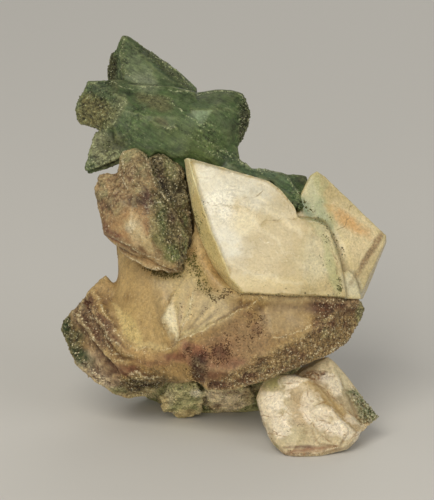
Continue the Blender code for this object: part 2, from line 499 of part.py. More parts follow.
GREEN_LEAF = [
    (-24.4, 23.8, 2.8), (-25.2, 20.8, 3.0), (-26.6, 16.0, 3.4), (-25.9, 15.5, 3.5), (-23.2, 16.6, 3.8),
    (-19.8, 18.2, 4.2), (-17.8, 19.4, 4.2), (-18.8, 24.0, 4.0), (-24.2, 23.4, 1.2), (-26.2, 16.2, 2.4),
    (-20.0, 18.0, 2.0), (-18.0, 23.0, 0.0),
]
GREEN_LEAF_UNDER = [
    (-24.2, 22.0, 2.2), (-26.3, 15.4, 2.4), (-25.7, 14.9, 2.4), (-23.0, 15.7, 2.6), (-19.6, 17.3, 2.8),
    (-16.2, 18.8, 2.8), (-17.0, 22.0, 2.6), (-23.8, 21.0, 0.2), (-25.6, 15.6, 0.8), (-19.6, 18.0, -1.0),
    (-16.0, 21.0, -2.0), (-16.6, 18.4, -1.0),
]
GREEN_BACK_SMALL = [
    (-20.0, 27.0, -7.0), (-13.0, 29.0, -14.0), (-16.0, 20.0, -18.0), (-22.0, 18.0, -12.0),
    (-21.0, 21.0, -7.0), (-13.0, 22.0, -10.0), (-17.0, 16.0, -11.0),
]
GREEN_BACK = [
    (-16.0, 34.0, -8.0), (-4.0, 31.0, -7.0), (3.0, 29.0, -6.0), (4.0, 20.0, -6.5), (-12.0, 16.0, -8.0),
    (-18.0, 25.0, -9.0), (-9.0, 30.0, -15.0), (0.0, 25.0, -14.5), (-10.0, 17.0, -15.5),
    (-15.0, 26.0, -14.0),
]

# The green crystals that run along behind the big tablet.
RIDGE_LEFT = [
    (0.4, 19.4, 1.0), (0.9, 20.0, 0.8), (2.5, 19.0, 1.0), (4.8, 17.9, 1.2), (6.2, 17.2, 1.2),
    (7.1, 16.2, 1.4), (8.0, 13.0, 3.0), (1.0, 15.0, 2.6), (2.6, 17.2, 2.6), (-1.0, 18.0, -4.0),
    (6.0, 15.6, -4.0), (8.6, 12.0, -3.0), (-1.0, 14.0, -3.0),
]
RIDGE_MIDDLE = [
    (5.6, 16.3, 1.2), (8.9, 16.4, 0.8), (10.8, 16.0, 0.8), (13.3, 15.5, 0.8), (14.3, 14.8, 0.8),
    (15.0, 13.8, 1.0), (16.6, 10.8, 2.4), (17.2, 8.0, 4.2), (12.0, 10.0, 4.6), (6.0, 12.0, 3.6),
    (11.0, 13.8, 3.2), (6.0, 15.0, -6.0), (14.0, 13.6, -6.0), (15.6, 9.0, -4.0), (5.0, 11.0, -4.0),
]
RIDGE_RIGHT = [
    (12.6, 15.1, -2.6), (15.4, 15.2, -3.0), (17.8, 14.9, -3.2), (19.0, 12.0, -2.6), (17.0, 8.0, -1.0),
    (12.0, 9.0, 1.0), (12.4, 14.0, -8.4), (18.0, 13.6, -8.6), (14.0, 9.0, -8.0),
]

# Patches where the surface is drusy, broken or etched: right, up, near, radius and depth.
KNOB_PATCHES = [(-10.0, 6.0, 9.0, 11.0, 0.5), (-19.0, 13.0, 8.0, 8.0, 0.5)]
LOWER_PATCHES = [
    (26.0, -14.0, 7.0, 9.0, 0.5), (16.0, -20.5, 11.0, 7.0, 0.4), (7.0, -26.0, 12.0, 6.0, 0.5),
    (-1.0, -27.0, 10.0, 6.0, 0.6), (-30.0, -17.0, -1.0, 7.0, 0.7), (-23.0, -25.0, 0.0, 6.0, 0.6),
    (-14.0, -28.0, 1.0, 8.0, 0.7),
]
ROCK_PATCHES = [(0.0, -24.0, -8.0, 34.0, 0.9)]
FOOT_PATCHES = [(30.0, -33.0, 6.0, 6.0, 0.6), (21.0, -24.0, 7.0, 4.5, 0.35)]
GREEN_PATCHES = [
    (-26.0, 28.0, 2.0, 7.0, 0.5), (6.0, 26.0, 0.0, 6.5, 0.6), (-12.0, 38.5, -4.0, 6.0, 0.4),
    (-21.5, 36.0, -5.0, 4.5, 0.5), (-24.0, 17.0, 3.0, 4.0, 0.3), (14.0, 10.0, 3.0, 6.0, 0.4),
]


def main():
    clear_scene()
    cream = material("cream", (0.68, 0.55, 0.34), 0.35)
    pearly = material("pearly", (0.74, 0.66, 0.50), 0.35)
    tawny = material("tawny", (0.50, 0.38, 0.22), 0.45)
    mottled = material("mottled", (0.30, 0.21, 0.13), 0.55)
    green = material("green", (0.09, 0.17, 0.08), 0.35)
    earth = material("earth", (0.20, 0.17, 0.09), 0.7)
    tablets = specimen_piece(
        "cream_tablets", [MAIN_BLADE, MAIN_FOOT, RIGHT_TABLET, RIGHT_CHIP], cream
    )
    knobs = specimen_piece(
        "mottled_crystals",
        [
            FRONT_KNOB, FRONT_KNOB_TOP, KNOB_LEDGE_UPPER, KNOB_LEDGE_LOWER, BACK_KNOB,
            *KNOB_LUMPS, *BACK_KNOB_LUMPS,
        ],
        mottled,
        [tablets],
        KNOB_PATCHES,
        2.6,
    )
    greens = specimen_piece(
        "green_crystals",
        [
            GREEN_PEAK, GREEN_PEAK_FLANK, GREEN_TABLET, GREEN_BODY, GREEN_END, GREEN_ROOT,
            GREEN_LEAF, GREEN_LEAF_UNDER, GREEN_BACK, GREEN_BACK_SMALL, RIDGE_LEFT, RIDGE_MIDDLE, RIDGE_RIGHT,
        ],
        green,
        [tablets, knobs],
        GREEN_PATCHES,
        2.4,
    )
    lower = specimen_piece(
        "lower_crystals",
        [
            CORE, PILLAR, FAN, FAN_EDGE, BOWL, BOWL_FOOT, SLAB, STEP_OUTER, STEP_RIM, STEP_PLATE_LOW,
            STEP_PLATE_MIDDLE, STEP_PLATE_FOOT, RIGHT_STAY, BACK_BLADE_LEFT, BACK_BLADE_RIGHT,
            *BACK_TABLETS,
        ],
        tawny,
        [tablets, knobs, greens],
        LOWER_PATCHES,
        2.4,
    )
    foot = specimen_piece(
        "foot_crystal", [FOOT_FACE, FOOT_SIDE, *FOOT_PLATES], pearly, [lower], FOOT_PATCHES, 1.8
    )
    specimen_piece("matrix", [ROCK, LUMP_LEFT, LUMP_RIGHT], earth, [foot, lower], ROCK_PATCHES, 4.5)


main()
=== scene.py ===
import math

import bmesh
import bpy
import numpy as np
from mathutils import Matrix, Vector


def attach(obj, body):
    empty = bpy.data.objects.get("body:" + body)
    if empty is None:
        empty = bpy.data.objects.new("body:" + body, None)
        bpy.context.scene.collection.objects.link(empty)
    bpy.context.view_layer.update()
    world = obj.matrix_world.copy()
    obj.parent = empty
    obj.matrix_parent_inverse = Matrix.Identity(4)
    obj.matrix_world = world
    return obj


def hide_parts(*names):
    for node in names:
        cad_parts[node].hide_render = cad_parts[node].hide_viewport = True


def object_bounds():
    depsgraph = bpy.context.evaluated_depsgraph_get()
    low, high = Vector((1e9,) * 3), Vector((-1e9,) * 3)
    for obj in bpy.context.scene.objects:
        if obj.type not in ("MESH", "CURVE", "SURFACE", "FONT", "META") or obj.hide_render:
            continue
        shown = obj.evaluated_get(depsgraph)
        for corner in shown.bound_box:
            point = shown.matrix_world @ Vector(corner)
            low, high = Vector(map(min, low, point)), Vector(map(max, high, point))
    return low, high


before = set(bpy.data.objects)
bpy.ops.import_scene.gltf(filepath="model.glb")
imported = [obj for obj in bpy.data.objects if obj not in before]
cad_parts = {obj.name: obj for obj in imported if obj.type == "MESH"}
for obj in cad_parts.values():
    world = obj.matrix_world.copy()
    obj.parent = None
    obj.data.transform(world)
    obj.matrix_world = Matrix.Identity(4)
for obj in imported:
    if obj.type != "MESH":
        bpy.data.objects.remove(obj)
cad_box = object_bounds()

# The matrix: the lumps of altered basalt that the group grew on, seen below the slab.
# A fine druse of green and cream grains covers them, with a peach-white crust on the lower rims; a painted
# highlight on the edges and painted light where the slab shades the lumps make it paler.
# All measures of the specimen are in millimetres, and the meshes are scaled to metres.

MM = 0.001
MERGE_GAP = 0.002 * MM
FLOOR_LEVEL = 0.0
CAD_LOW = np.array(cad_box[0]) / MM
CAD_HIGH = np.array(cad_box[1]) / MM

# How the specimen is seen from the front: right, up and near of the picture plane through its middle.
SIGHT_TILT = math.radians(18.0)
SIGHT_DISTANCE = 600.0
SIGHT_CENTRE = np.array((-1.2, 0.8, 34.6))
SIGHT_UP = np.array((0.0, math.sin(SIGHT_TILT), math.cos(SIGHT_TILT)))
SIGHT_TOWARDS = np.array((0.0, -math.cos(SIGHT_TILT), math.sin(SIGHT_TILT)))

SINE_REACH = 43758.5453
MIXING_AXES = np.array(((127.1, 269.5, 113.5), (311.7, 183.3, 271.9), (74.7, 246.1, 124.6)))
CELL_CORNERS = np.array(np.meshgrid((0, 1), (0, 1), (0, 1))).reshape(3, -1).T
CELLS_AROUND = np.array(np.meshgrid((-1, 0, 1), (-1, 0, 1), (-1, 0, 1))).reshape(3, -1).T


def held(values, most=1.0):
    """Values kept from 0 up to the most that they may be."""
    return np.clip(values, 0.0, most)


def scattered(cell, seed, count=3):
    """Numbers from 0 to 1 for each whole-number cell: what is left of a large sine of its indices."""
    return np.modf(np.abs(np.sin(cell @ MIXING_AXES[:, :count] + seed)) * SINE_REACH)[0]


def swell(points, size, seed):
    """Smooth noise from -1 to 1: random values at the corners of cubes size mm wide, blended between."""
    spot = points / size
    cell = np.floor(spot)
    share = spot - cell
    share = share * share * (3.0 - 2.0 * share)
    total = np.zeros(len(points))
    for corner in CELL_CORNERS:
        weight = np.prod(np.where(corner, share, 1.0 - share), axis=1)
        total += weight * scattered(cell + corner, seed, 1)[:, 0]
    return 2.0 * total - 1.0


def uneven(points, size, seed, rounds=3):
    """Noise in rounds, each half as wide and half as high as the one before."""
    return sum(swell(points, size / 2**step, seed + 17.0 * step) / 2**step for step in range(rounds))


def grains(points, size, seed):
    """The grain that each point falls in, of grains strewn one to a cube size mm wide.

    It gives the distances to the nearest and second nearest grain, in sizes, the nearest one's own
    three numbers from -1 to 1, and the way from its middle to the point.
    """
    spot = points / size
    cell = np.floor(spot)
    first = np.full(len(points), np.inf)
    second = first.copy()
    own = np.zeros((len(points), 3))
    way = np.zeros((len(points), 3))
    for offset in CELLS_AROUND:
        numbers = scattered(cell + offset, seed)
        apart = spot - (cell + offset + numbers)
        gap = np.sqrt(np.sum(apart * apart, axis=1))
        closer = gap < first
        second = np.where(closer, first, np.minimum(second, gap))
        first = np.where(closer, gap, first)
        own = np.where(closer[:, None], numbers, own)
        way = np.where(closer[:, None], apart, way)
    return first, second, 2.0 * own - 1.0, way


def facets(points, size, seed, tilt=0.9, step=0.35):
    """Relief in mm of a druse: each grain is a flat facet with its own height and its own tilt."""
    first, second, own, way = grains(points, size, seed)
    return size * (step * own[:, 0] + tilt * np.sum(own * way, axis=1))


def as_seen(points):
    """How far right, up and near each point lies: its offset from the sight centre on the three axes of
    the picture, the first two divided by how much nearer it is to the eye."""
    away = points - SIGHT_CENTRE
    near = away @ SIGHT_TOWARDS
    spread = 1.0 - near / SIGHT_DISTANCE
    return away[:, 0] / spread, away @ SIGHT_UP / spread, near


def even_mesh(node, step):
    """A CAD node as (points in mm, faces of four corners): merged, then remeshed to squares step mm wide."""
    shape = bmesh.new()
    shape.from_mesh(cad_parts[node].data)
    bmesh.ops.remove_doubles(shape, verts=shape.verts, dist=MERGE_GAP)
    merged = bpy.data.meshes.new("merged")
    shape.to_mesh(merged)
    shape.free()
    working = bpy.data.objects.new("working", merged)
    bpy.context.scene.collection.objects.link(working)
    remesh = working.modifiers.new("Remesh", "REMESH")
    remesh.mode = "VOXEL"
    remesh.voxel_size = step * MM
    bpy.context.view_layer.update()
    made = working.evaluated_get(bpy.context.evaluated_depsgraph_get()).to_mesh()
    points = np.empty(len(made.vertices) * 3, np.float32)
    made.vertices.foreach_get("co", points)
    corners = np.empty(len(made.loops), np.int32)
    made.loops.foreach_get("vertex_index", corners)
    bpy.data.objects.remove(working)
    return points.reshape(-1, 3).astype(float) / MM, corners.reshape(-1, 4)


def around(values, faces):
    """The mean of a value over the points that share an edge with each point."""
    start, end = faces.ravel(), np.roll(faces, -1, axis=1).ravel()
    count = np.bincount(start, minlength=len(values))
    if values.ndim == 1:
        return np.bincount(start, values[end], len(values)) / count
    return np.stack([np.bincount(start, column[end], len(values)) / count for column in values.T], axis=1)


def eased(values, faces, rounds, share=0.5):
    """Values after rounds of moving each one part of the way to the mean around it."""
    for _ in range(rounds):
        values = values + share * (around(values, faces) - values)
    return values


def normals_of(points, faces):
    """Unit normals: the cross products of each face's diagonals, summed at its corners."""
    corner = points[faces]
    cross = np.cross(corner[:, 2] - corner[:, 0], corner[:, 3] - corner[:, 1])
    spread = np.repeat(cross, 4, axis=0)
    total = np.stack([np.bincount(faces.ravel(), side, len(points)) for side in spread.T], axis=1)
    return total / np.maximum(np.linalg.norm(total, axis=1), 1e-9)[:, None]


def edge_share(points, faces, normals, rounds=3):
    """From -1 in a crease to 1 on an edge: how far each point stands out from the mean around it."""
    step = np.median(np.linalg.norm(points[faces[:, 0]] - points[faces[:, 1]], axis=1))
    lift = np.sum((points - around(points, faces)) * normals, axis=1) / step
    return np.clip(eased(lift, faces, rounds) * 8.0, -1.0, 1.0)


def relieved(points, faces, normals, relief):
    """A surface moved out by its relief in mm and kept above the floor, with its new normals and edges."""
    points = points + normals * relief[:, None]
    points[:, 2] = np.maximum(points[:, 2], FLOOR_LEVEL)
    normals = normals_of(points, faces)
    return points, normals, edge_share(points, faces, normals)


def own_shade(normals, faces, seed):
    """A number from 0 to 1 for each flat face: random by the way it points, eased over its borders."""
    return eased(scattered(np.round(2.0 * normals), seed, 1)[:, 0], faces, 4)


def paint(red, green, blue):
    """A colour given from 0 to 255 as the eye sees it, as light."""
    seen = np.array((red, green, blue)) / 255.0
    return np.where(seen <= 0.04045, seen / 12.92, ((seen + 0.055) / 1.055) ** 2.4)


def toned(tone, colour, share):
    """Colours moved towards another one by each point's share of the way."""
    return tone + (paint(*colour) - tone) * share[:, None]


def blot(sight, wander, right, up, wide, tall, turn=0.0, rim=0.35):
    """How far each point lies in a blot: 1 inside a turned ellipse, 0 outside, its outline bent by noise."""
    angle = math.radians(turn)
    x, y = sight[0] - right, sight[1] - up
    across = (x * math.cos(angle) + y * math.sin(angle)) / wide
    along = (y * math.cos(angle) - x * math.sin(angle)) / tall
    reach = np.hypot(across, along) + 0.28 * wander
    return held((1.0 + rim - reach) / (2.0 * rim))


def stained_and_lit(tone, sight, wander, shown, rows):
    """Colours after each blot in turn, stains and painted light and shade alike: red, green, blue, strength,
    and the blot's place, size and turn.
    """
    for red, green, blue, strength, *place in rows:
        tone = toned(tone, (red, green, blue), strength * shown * blot(sight, wander, *place))
    return tone


def covered(sight, wander, shown, rows):
    """The strongest of several blots at each point: strength, and the blot's place, size and turn."""
    total = np.zeros(len(sight[0]))
    for strength, *place in rows:
        total = np.maximum(total, strength * shown * blot(sight, wander, *place))
    return total


def beside(sight, path):
    """Mm from each point to a bent line of (right, up) corners, positive on the right-hand side of its way:
    the shortest of the ways to its segments."""
    spot = np.column_stack(sight[:2])
    nearest = np.full(len(spot), np.inf)
    signed = nearest.copy()
    for start, end in zip(np.array(path[:-1]), np.array(path[1:])):
        way = end - start
        share = held((spot - start) @ way / (way @ way))
        apart = spot - start - share[:, None] * way
        gap = np.hypot(apart[:, 0], apart[:, 1])
        turn = np.where(way[1] * apart[:, 0] > way[0] * apart[:, 1], 1.0, -1.0)
        closer = gap < nearest
        nearest = np.where(closer, gap, nearest)
        signed = np.where(closer, gap * turn, signed)
    return signed


def crest(sight, path, width):
    """1 on a bent line and falling to 0 over about width mm: the bell of the distance to it."""
    return np.exp(-((beside(sight, path) / width) ** 2))


def strayed(sight, points, far, seed):
    """The seen place moved up to far mm by noise, so that what is drawn along a line strays from it."""
    right, up = (far * uneven(points, 2.4, start) for start in (seed, seed + 5.0))
    return sight[0] + right, sight[1] + up, sight[2]


def ledge(sight, path, sharp, fade):
    """A step: up from 0 to 1 over sharp mm left of a bent line, down to 0 over fade mm right of it."""
    off = beside(sight, path)
    return held(off / sharp + 1.0) * held(1.0 - off / fade)


def hairlines(sight, paths, reach=0.8):
    """How near each point lies to the nearest of several bent lines: 1 on it, 0 from reach mm away."""
    total = np.zeros(len(sight[0]))
    for path in paths:
        total = np.maximum(total, 1.0 - np.abs(beside(sight, path)) / reach)
    return total


class Socket:
    """An output socket in expressions: arithmetic on it adds Math nodes to its material."""

    def __init__(self, tree, output=None):
        self.tree = tree
        self.output = output

    def feed(self, node, inputs):
        """Gives the sockets of a node their links or values."""
        for name, value in inputs.items():
            if isinstance(value, Socket):
                self.tree.links.new(value.output, node.inputs[name])
            else:
                node.inputs[name].default_value = value

    def node(self, kind, settings, inputs, output=0):
        """Adds a node, with its settings first and then the values or links of its sockets."""
        made = self.tree.nodes.new("ShaderNode" + kind)
        for name, value in settings.items():
            setattr(made, name, value)
        self.feed(made, inputs)
        return Socket(self.tree, made.outputs[output])

    def math(self, operation, first, second):
        return self.node("Math", {"operation": operation}, {0: first, 1: second})

    def __add__(self, other):
        return self.math("ADD", self, other)

    __radd__ = __add__

    def __sub__(self, other):
        return self.math("SUBTRACT", self, other)

    def __rsub__(self, other):
        return self.math("SUBTRACT", other, self)

    def __mul__(self, other):
        return self.math("MULTIPLY", self, other)

    __rmul__ = __mul__

    def ramp(self, low, high):
        """0 below low, 1 above high and smooth between; a low above high turns it round."""
        inputs = {"Value": self, "From Min": low, "From Max": high}
        return self.node("MapRange", {"interpolation_type": "SMOOTHSTEP"}, inputs)

    def over(self, below, above):
        """The colour above where this mask is 1, and the one below where it is 0."""
        inputs = {0: self, 6: below, 7: above}
        return self.node("Mix", {"data_type": "RGBA"}, inputs, 2)

    def vector(self, operation, first, second):
        return self.node("VectorMath", {"operation": operation}, {0: first, 1: second})

    def scaled(self, vector, factor):
        return self.node("VectorMath", {"operation": "SCALE"}, {0: vector, "Scale": factor})

    def field(self, name):
        return self.node("Attribute", {"attribute_name": name}, {}, 2)

    def noise(self, place, size, detail=3.0, rough=0.55):
        """Noise from 0 to 1 with features size mm wide."""
        inputs = {"Vector": place, "Scale": 1.0 / size, "Detail": detail, "Roughness": rough}
        return self.node("TexNoise", {}, inputs)

    def strewn(self, place, size, output):
        """Cells size mm wide: output 0 is the distance to the cell's middle, 1 its own colour."""
        return self.node("TexVoronoi", {}, {"Vector": place, "Scale": 1.0 / size}, output)


MOSS = (66, 66, 20)


def finish_of(name, speck, glint, scatter, depth, streak=(1.0, 1.0, 1.0), lean=0.0, striae=0.6,
              relief=1.0, shine=0.5, coat=0.0, crack=None, rings=False):
    """The finish of one mineral: its tone field, broken up by grain, streaks, flecks, specks and hairlines.

    speck and glint are colours, glint the one of the painted glints on pale flecks and sparkles and, in
    part, of the painted highlight on the pale rims; scatter and depth the share and the mm of light under
    the surface, streak squeezes the fine striation along an axis after a turn of lean degrees, striae is
    its contrast, relief scales the bump, and shine is the roughness.
    """
    made = bpy.data.materials.new(name)
    made.use_nodes = True
    tree = made.node_tree
    shader = tree.nodes["Principled BSDF"]
    s = Socket(tree)
    dark, pale = ((*paint(*colour), 1.0) for colour in (speck, glint))
    place = s.scaled(s.node("TexCoord", {}, {}, 3), 1.0 / MM)
    druse, pearl, soiled = s.field("druse"), s.field("pearl"), s.field("soiled")
    grain = s.noise(place, 0.4, 4.0, 0.65).ramp(0.32, 0.68) - 0.5
    calm = 1.0 - s.math("MAXIMUM", s.field("main_face") * 0.75, pearl * 0.5)
    flaky = pearl.ramp(0.62, 1.0) * (s.noise(place, 0.5, 4.0, 0.7).ramp(0.38, 0.6) - 0.5)
    cloud = s.noise(place, 1.9, 4.0, 0.6) - 0.5
    along = s.node("Mapping", {}, {"Vector": place, "Rotation": (0.0, math.radians(lean), 0.0)})
    along = s.vector("MULTIPLY", along, streak)
    streaks = s.noise(along, 0.6, 4.0, 0.6) - 0.5
    tone = s.node("Attribute", {"attribute_name": "tone"}, {}, 0)
    patch = s.noise(place, 0.85, 5.0, 0.7).ramp(0.4, 0.6) - 0.5
    light = grain * 0.35 + streaks * striae + cloud * 0.6 + patch * (0.16 * striae)
    light = 0.91 + light * calm + grain * druse * 0.75 + flaky * 0.34
    tone = s.scaled(tone, light)
    # Pale flecks in the glint colour: painted glints on the clean crystal.
    flecks = (s.noise(along, 0.34, 3.0, 0.6) + cloud * 0.5).ramp(0.66, 0.76)
    tone = (flecks * calm * 0.4).over(tone, pale)
    spread = s.strewn(place, 0.36, 1)
    other = s.node("SeparateColor", {}, {0: s.strewn(place, 0.26, 1)}, 1)
    swarm = s.noise(place, 1.5, 2.0) - 0.5
    speckle = s.noise(place, 0.32, 3.0, 0.6) + swarm * 0.5 + soiled * 0.18
    specks = speckle.ramp(0.71, 0.77) * soiled.ramp(0.05, 0.4)
    dirt = s.field("mossy").over(dark, (*paint(*MOSS), 1.0))
    tone = (specks * 0.85).over(tone, dirt)
    near_rim = s.field("rims").ramp(0.1, 0.9)
    # Sparkle cells in the glint colour, thicker on druse and near the rims: painted glints.
    bright = (other + druse * 0.12 + near_rim * 0.1 + grain * 0.3).ramp(1.04, 1.12)
    tone = (bright * calm * (0.36 + druse * 0.4 + near_rim * 0.2)).over(tone, pale)
    wobble = s.noise(place, 0.8, 3.0) - 0.5
    broken = s.noise(place, 1.3, 2.0).ramp(0.4, 0.56)
    dotted = s.noise(place, 0.32, 2.0, 0.6).ramp(0.42, 0.58) * 0.75 + 0.25
    # Pale hairline rims in the glint colour: partly the rims' own pale colour, partly a painted highlight.
    rim = (s.field("rims") + wobble * 0.5).ramp(0.76, 0.92) * broken * dotted
    tone = (rim * 0.7).over(tone, pale)
    split = (s.field("splits") + wobble * 0.3).ramp(0.76, 0.92) * (0.35 + broken * 0.65)
    if crack:
        bent = s.noise(s.vector("MULTIPLY", place, (1.0, 1.0, 1.7)), 4.6, 2.0, 0.5) - 0.5
        open_here = s.noise(place, 3.4, 2.0).ramp(0.5, 0.58) * s.field("cracked")
        seam = s.node("Math", {"operation": "ABSOLUTE"}, {0: bent}).ramp(0.022, 0.004) * open_here
        split = s.math("MAXIMUM", split, seam)
        tone = (split * 0.7).over(tone, (*paint(*crack), 1.0))
    else:
        tone = (split * 0.8).over(tone, dark)
    if rings:
        grown = {"W": s.field("growth") * 1.2, "Scale": 1.0, "Detail": 4.0}
        ring = (s.node("TexNoise", {"noise_dimensions": "1D"}, grown) - 0.5) * s.field("main_face")
        tone = s.scaled(tone, 1.0 + ring * 0.25)
    rough = shine - 0.16 * pearl + grain * 0.1 - bright * 0.2 + specks * 0.35 + soiled * 0.12
    if coat:
        s.feed(shader, {"Coat Weight": pearl * coat * (1.0 - specks), "Coat Roughness": 0.28})
    tilt = s.vector("SUBTRACT", spread, (0.5, 0.5, 0.5))
    tilt = s.scaled(tilt, druse * 1.1 + 0.04)
    leaning = s.vector("ADD", s.node("NewGeometry", {}, {}, 1), tilt)
    leaning = s.node("VectorMath", {"operation": "NORMALIZE"}, {0: leaning})
    height = grain * (0.12 + druse * 0.22) + streaks * 0.3 + cloud * 0.2 + patch * 0.12
    height = height + rim * 0.4 - split * 0.5
    if rings:
        height = height + ring * 0.35
    bump = {"Strength": 0.55 * relief, "Distance": 0.25 * MM, "Height": height, "Normal": leaning}
    s.feed(shader, {
        "Base Color": tone, "Roughness": rough.ramp(0.0, 1.0), "Normal": s.node("Bump", {}, bump),
        "Specular IOR Level": 0.3, "IOR": 1.5, "Subsurface Weight": scatter,
        "Subsurface Radius": (1.0, 0.8, 0.55), "Subsurface Scale": depth * MM,
    })
    return made


def mesh_piece(name, points, faces, finish, fields, smooth=True):
    """Puts a surface into the scene: points in mm kept inside the CAD box, faces of four, fields by point."""
    mesh = bpy.data.meshes.new(name)
    inside = np.clip(points, CAD_LOW, CAD_HIGH)
    mesh.from_pydata((inside * MM).tolist(), [], faces.tolist())
    for field, values in fields.items():
        if values.ndim == 2:
            layer = mesh.attributes.new(field, "FLOAT_COLOR", "POINT")
            colours = np.column_stack((held(values), np.ones(len(values))))
            layer.data.foreach_set("color", colours.astype(np.float32).ravel())
        else:
            layer = mesh.attributes.new(field, "FLOAT", "POINT")
            layer.data.foreach_set("value", values.astype(np.float32))
    mesh.polygons.foreach_set("use_smooth", np.broadcast_to(smooth, len(faces)).astype(bool))
    mesh.materials.append(finish)
    piece = bpy.data.objects.new(name, mesh)
    bpy.context.scene.collection.objects.link(piece)
    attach(piece, "root")
    return piece


# The outline of a small tablet crystal, pointed at both ends, half its thickness, and its faces: two of
# four corners on the upper and on the lower ring, and six around.
TABLET_RING = np.array(((-0.52, 0.0), (-0.28, 0.3), (0.24, 0.34), (0.55, 0.0), (0.24, -0.3), (-0.28, -0.34)))
TABLET_LEVEL = np.full(6, 0.2)
TABLET_CORNERS = 12
TABLET_FACES = np.array(
    [(0, 1, 2, 3), (0, 3, 4, 5), (9, 8, 7, 6), (11, 10, 9, 6)]
    + [(step, step + 6, (step + 1) % 6 + 6, (step + 1) % 6) for step in range(6)]
)[:, ::-1]


def strewn_crystals(name, points, normals, tone, weight, count, sizes, seed, finish):
    """Small tablets sunk into a surface: one shape turned, scaled and set at points drawn by weight."""
    draw = np.random.default_rng(seed)
    chosen = draw.choice(len(points), count, p=weight / weight.sum())
    lean = normals[chosen] + draw.normal(0.0, 0.45, (count, 3))
    lean /= np.linalg.norm(lean, axis=1)[:, None]
    side = np.cross(lean, draw.normal(0.0, 1.0, (count, 3)))
    side /= np.linalg.norm(side, axis=1)[:, None]
    third = np.cross(lean, side)
    size = sizes[0] + (sizes[1] - sizes[0]) * draw.random(count) ** 2.0
    upper = np.column_stack((TABLET_RING * 0.8, TABLET_LEVEL))
    ring = np.vstack((upper, np.column_stack((TABLET_RING, -TABLET_LEVEL))))
    axes = np.stack((side, third, lean), axis=1) * size[:, None, None]
    middle = points[chosen] + lean * (size * 0.05)[:, None]
    corners = np.einsum("pk,nkd->npd", ring, axes) + middle[:, None, :]
    faces = TABLET_FACES[None] + TABLET_CORNERS * np.arange(count)[:, None, None]
    shade = tone[chosen] * (0.65 + 0.8 * draw.random((count, 1)) ** 3.0)
    # About one tablet in eleven is painted near white: a painted glint.
    shade = np.where(draw.random((count, 1)) < 0.09, 0.4 * shade + 0.42 * paint(232, 222, 186), shade)
    fields = {
        "tone": np.repeat(held(shade, 0.9), TABLET_CORNERS, axis=0),
        "druse": np.full(TABLET_CORNERS * count, 0.35),
        "pearl": np.full(TABLET_CORNERS * count, 0.6),
        "soiled": np.zeros(TABLET_CORNERS * count),
    }
    corners = corners.reshape(-1, 3)
    corners[:, 2] = np.maximum(corners[:, 2], FLOOR_LEVEL + 0.02)
    return mesh_piece(name, corners, faces.reshape(-1, 4), finish, fields, smooth=False)


matrix_finish = finish_of("matrix_druse", (60, 56, 32), (236, 224, 186), 0.15, 0.8, relief=1.2, shine=0.6)
points, faces = even_mesh("matrix", 0.4)
points = eased(points, faces, 2)
normals = normals_of(points, faces)
sight = as_seen(points)
wander = uneven(points, 3.2, 11.0)
front = held(0.6 + 1.2 * normals @ SIGHT_TOWARDS)
druse = np.clip(0.6 + 0.5 * uneven(points, 2.4, 12.0), 0.15, 1.0)
raised = held(points[:, 2] - 0.2)
relief = druse * facets(points, 0.6, 13.0) * 0.5 + 0.45 * uneven(points, 2.2, 14.0)
points, normals, edge = relieved(points, faces, normals, relief * raised)
tone = toned(paint(200, 186, 140), (140, 148, 96), held(0.4 + wander))
# The large pale blot near right 2, up -29.6, with its small pale streaks, is painted light where the slab
# shades the lumps; the near-white spot near right -4.3 is a painted highlight.
tone = stained_and_lit(tone, sight, wander, front, [
    (190, 186, 134, 0.85, -7.6, -29.4, 3.6, 3.4), (220, 206, 164, 0.8, -9.6, -29.6, 1.4, 1.8),
    (214, 190, 136, 0.9, -8, -32.8, 3.4, 0.9, 6), (204, 178, 124, 0.8, -10.8, -30.6, 1, 1.6),
    (248, 238, 208, 0.95, -4.3, -28.4, 1.3, 1), (92, 110, 66, 0.8, -2.2, -29, 1.2, 1.6),
    (240, 218, 182, 0.95, 2, -29.6, 4.6, 2.6), (232, 214, 180, 0.9, 1.2, -29.6, 1.1, 0.6, -20),
    (228, 208, 172, 0.9, 4.6, -30.4, 1, 0.5, 30), (104, 72, 54, 0.8, 3, -28.2, 1.6, 0.8),
    (132, 92, 62, 0.7, -0.6, -31.4, 1.4, 0.5), (150, 122, 82, 0.7, 6.4, -29, 1.4, 1.6),
])
# Painted highlight on the edges of the lumps, and painted shade in their creases.
tone = toned(tone, (216, 200, 150), held(1.2 * edge, 0.5))
tone = toned(tone, (84, 74, 46), held(-1.2 * edge, 0.5))
matrix_fields = {
    "tone": tone,
    "druse": 0.7 * druse,
    "pearl": np.zeros(len(points)),
    "soiled": held(0.25 + 0.5 * wander),
    "mossy": np.full(len(points), 0.5),
}
matrix_surface = mesh_piece("matrix_surface", points, faces, matrix_finish, matrix_fields)
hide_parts("matrix")
weight = druse * (points[:, 2] > 1.2)
strewn_crystals(
    "matrix_grains", points, normals, tone, weight, 4200, (0.16, 0.7), 15, matrix_finish
)

# The tawny crystals that carry the group: the slab across the front, the pillar with its bowl and fan,
# and the layered crystal on the left. Where they are clean they are smooth and take the light inside;
# brown and green grains cover the lower bands, and the plates end in thin pale rims, pale partly by
# their own colour and partly by a painted highlight. Painted highlights also lie along the ridges of
# the fan and the top edge of the slab.

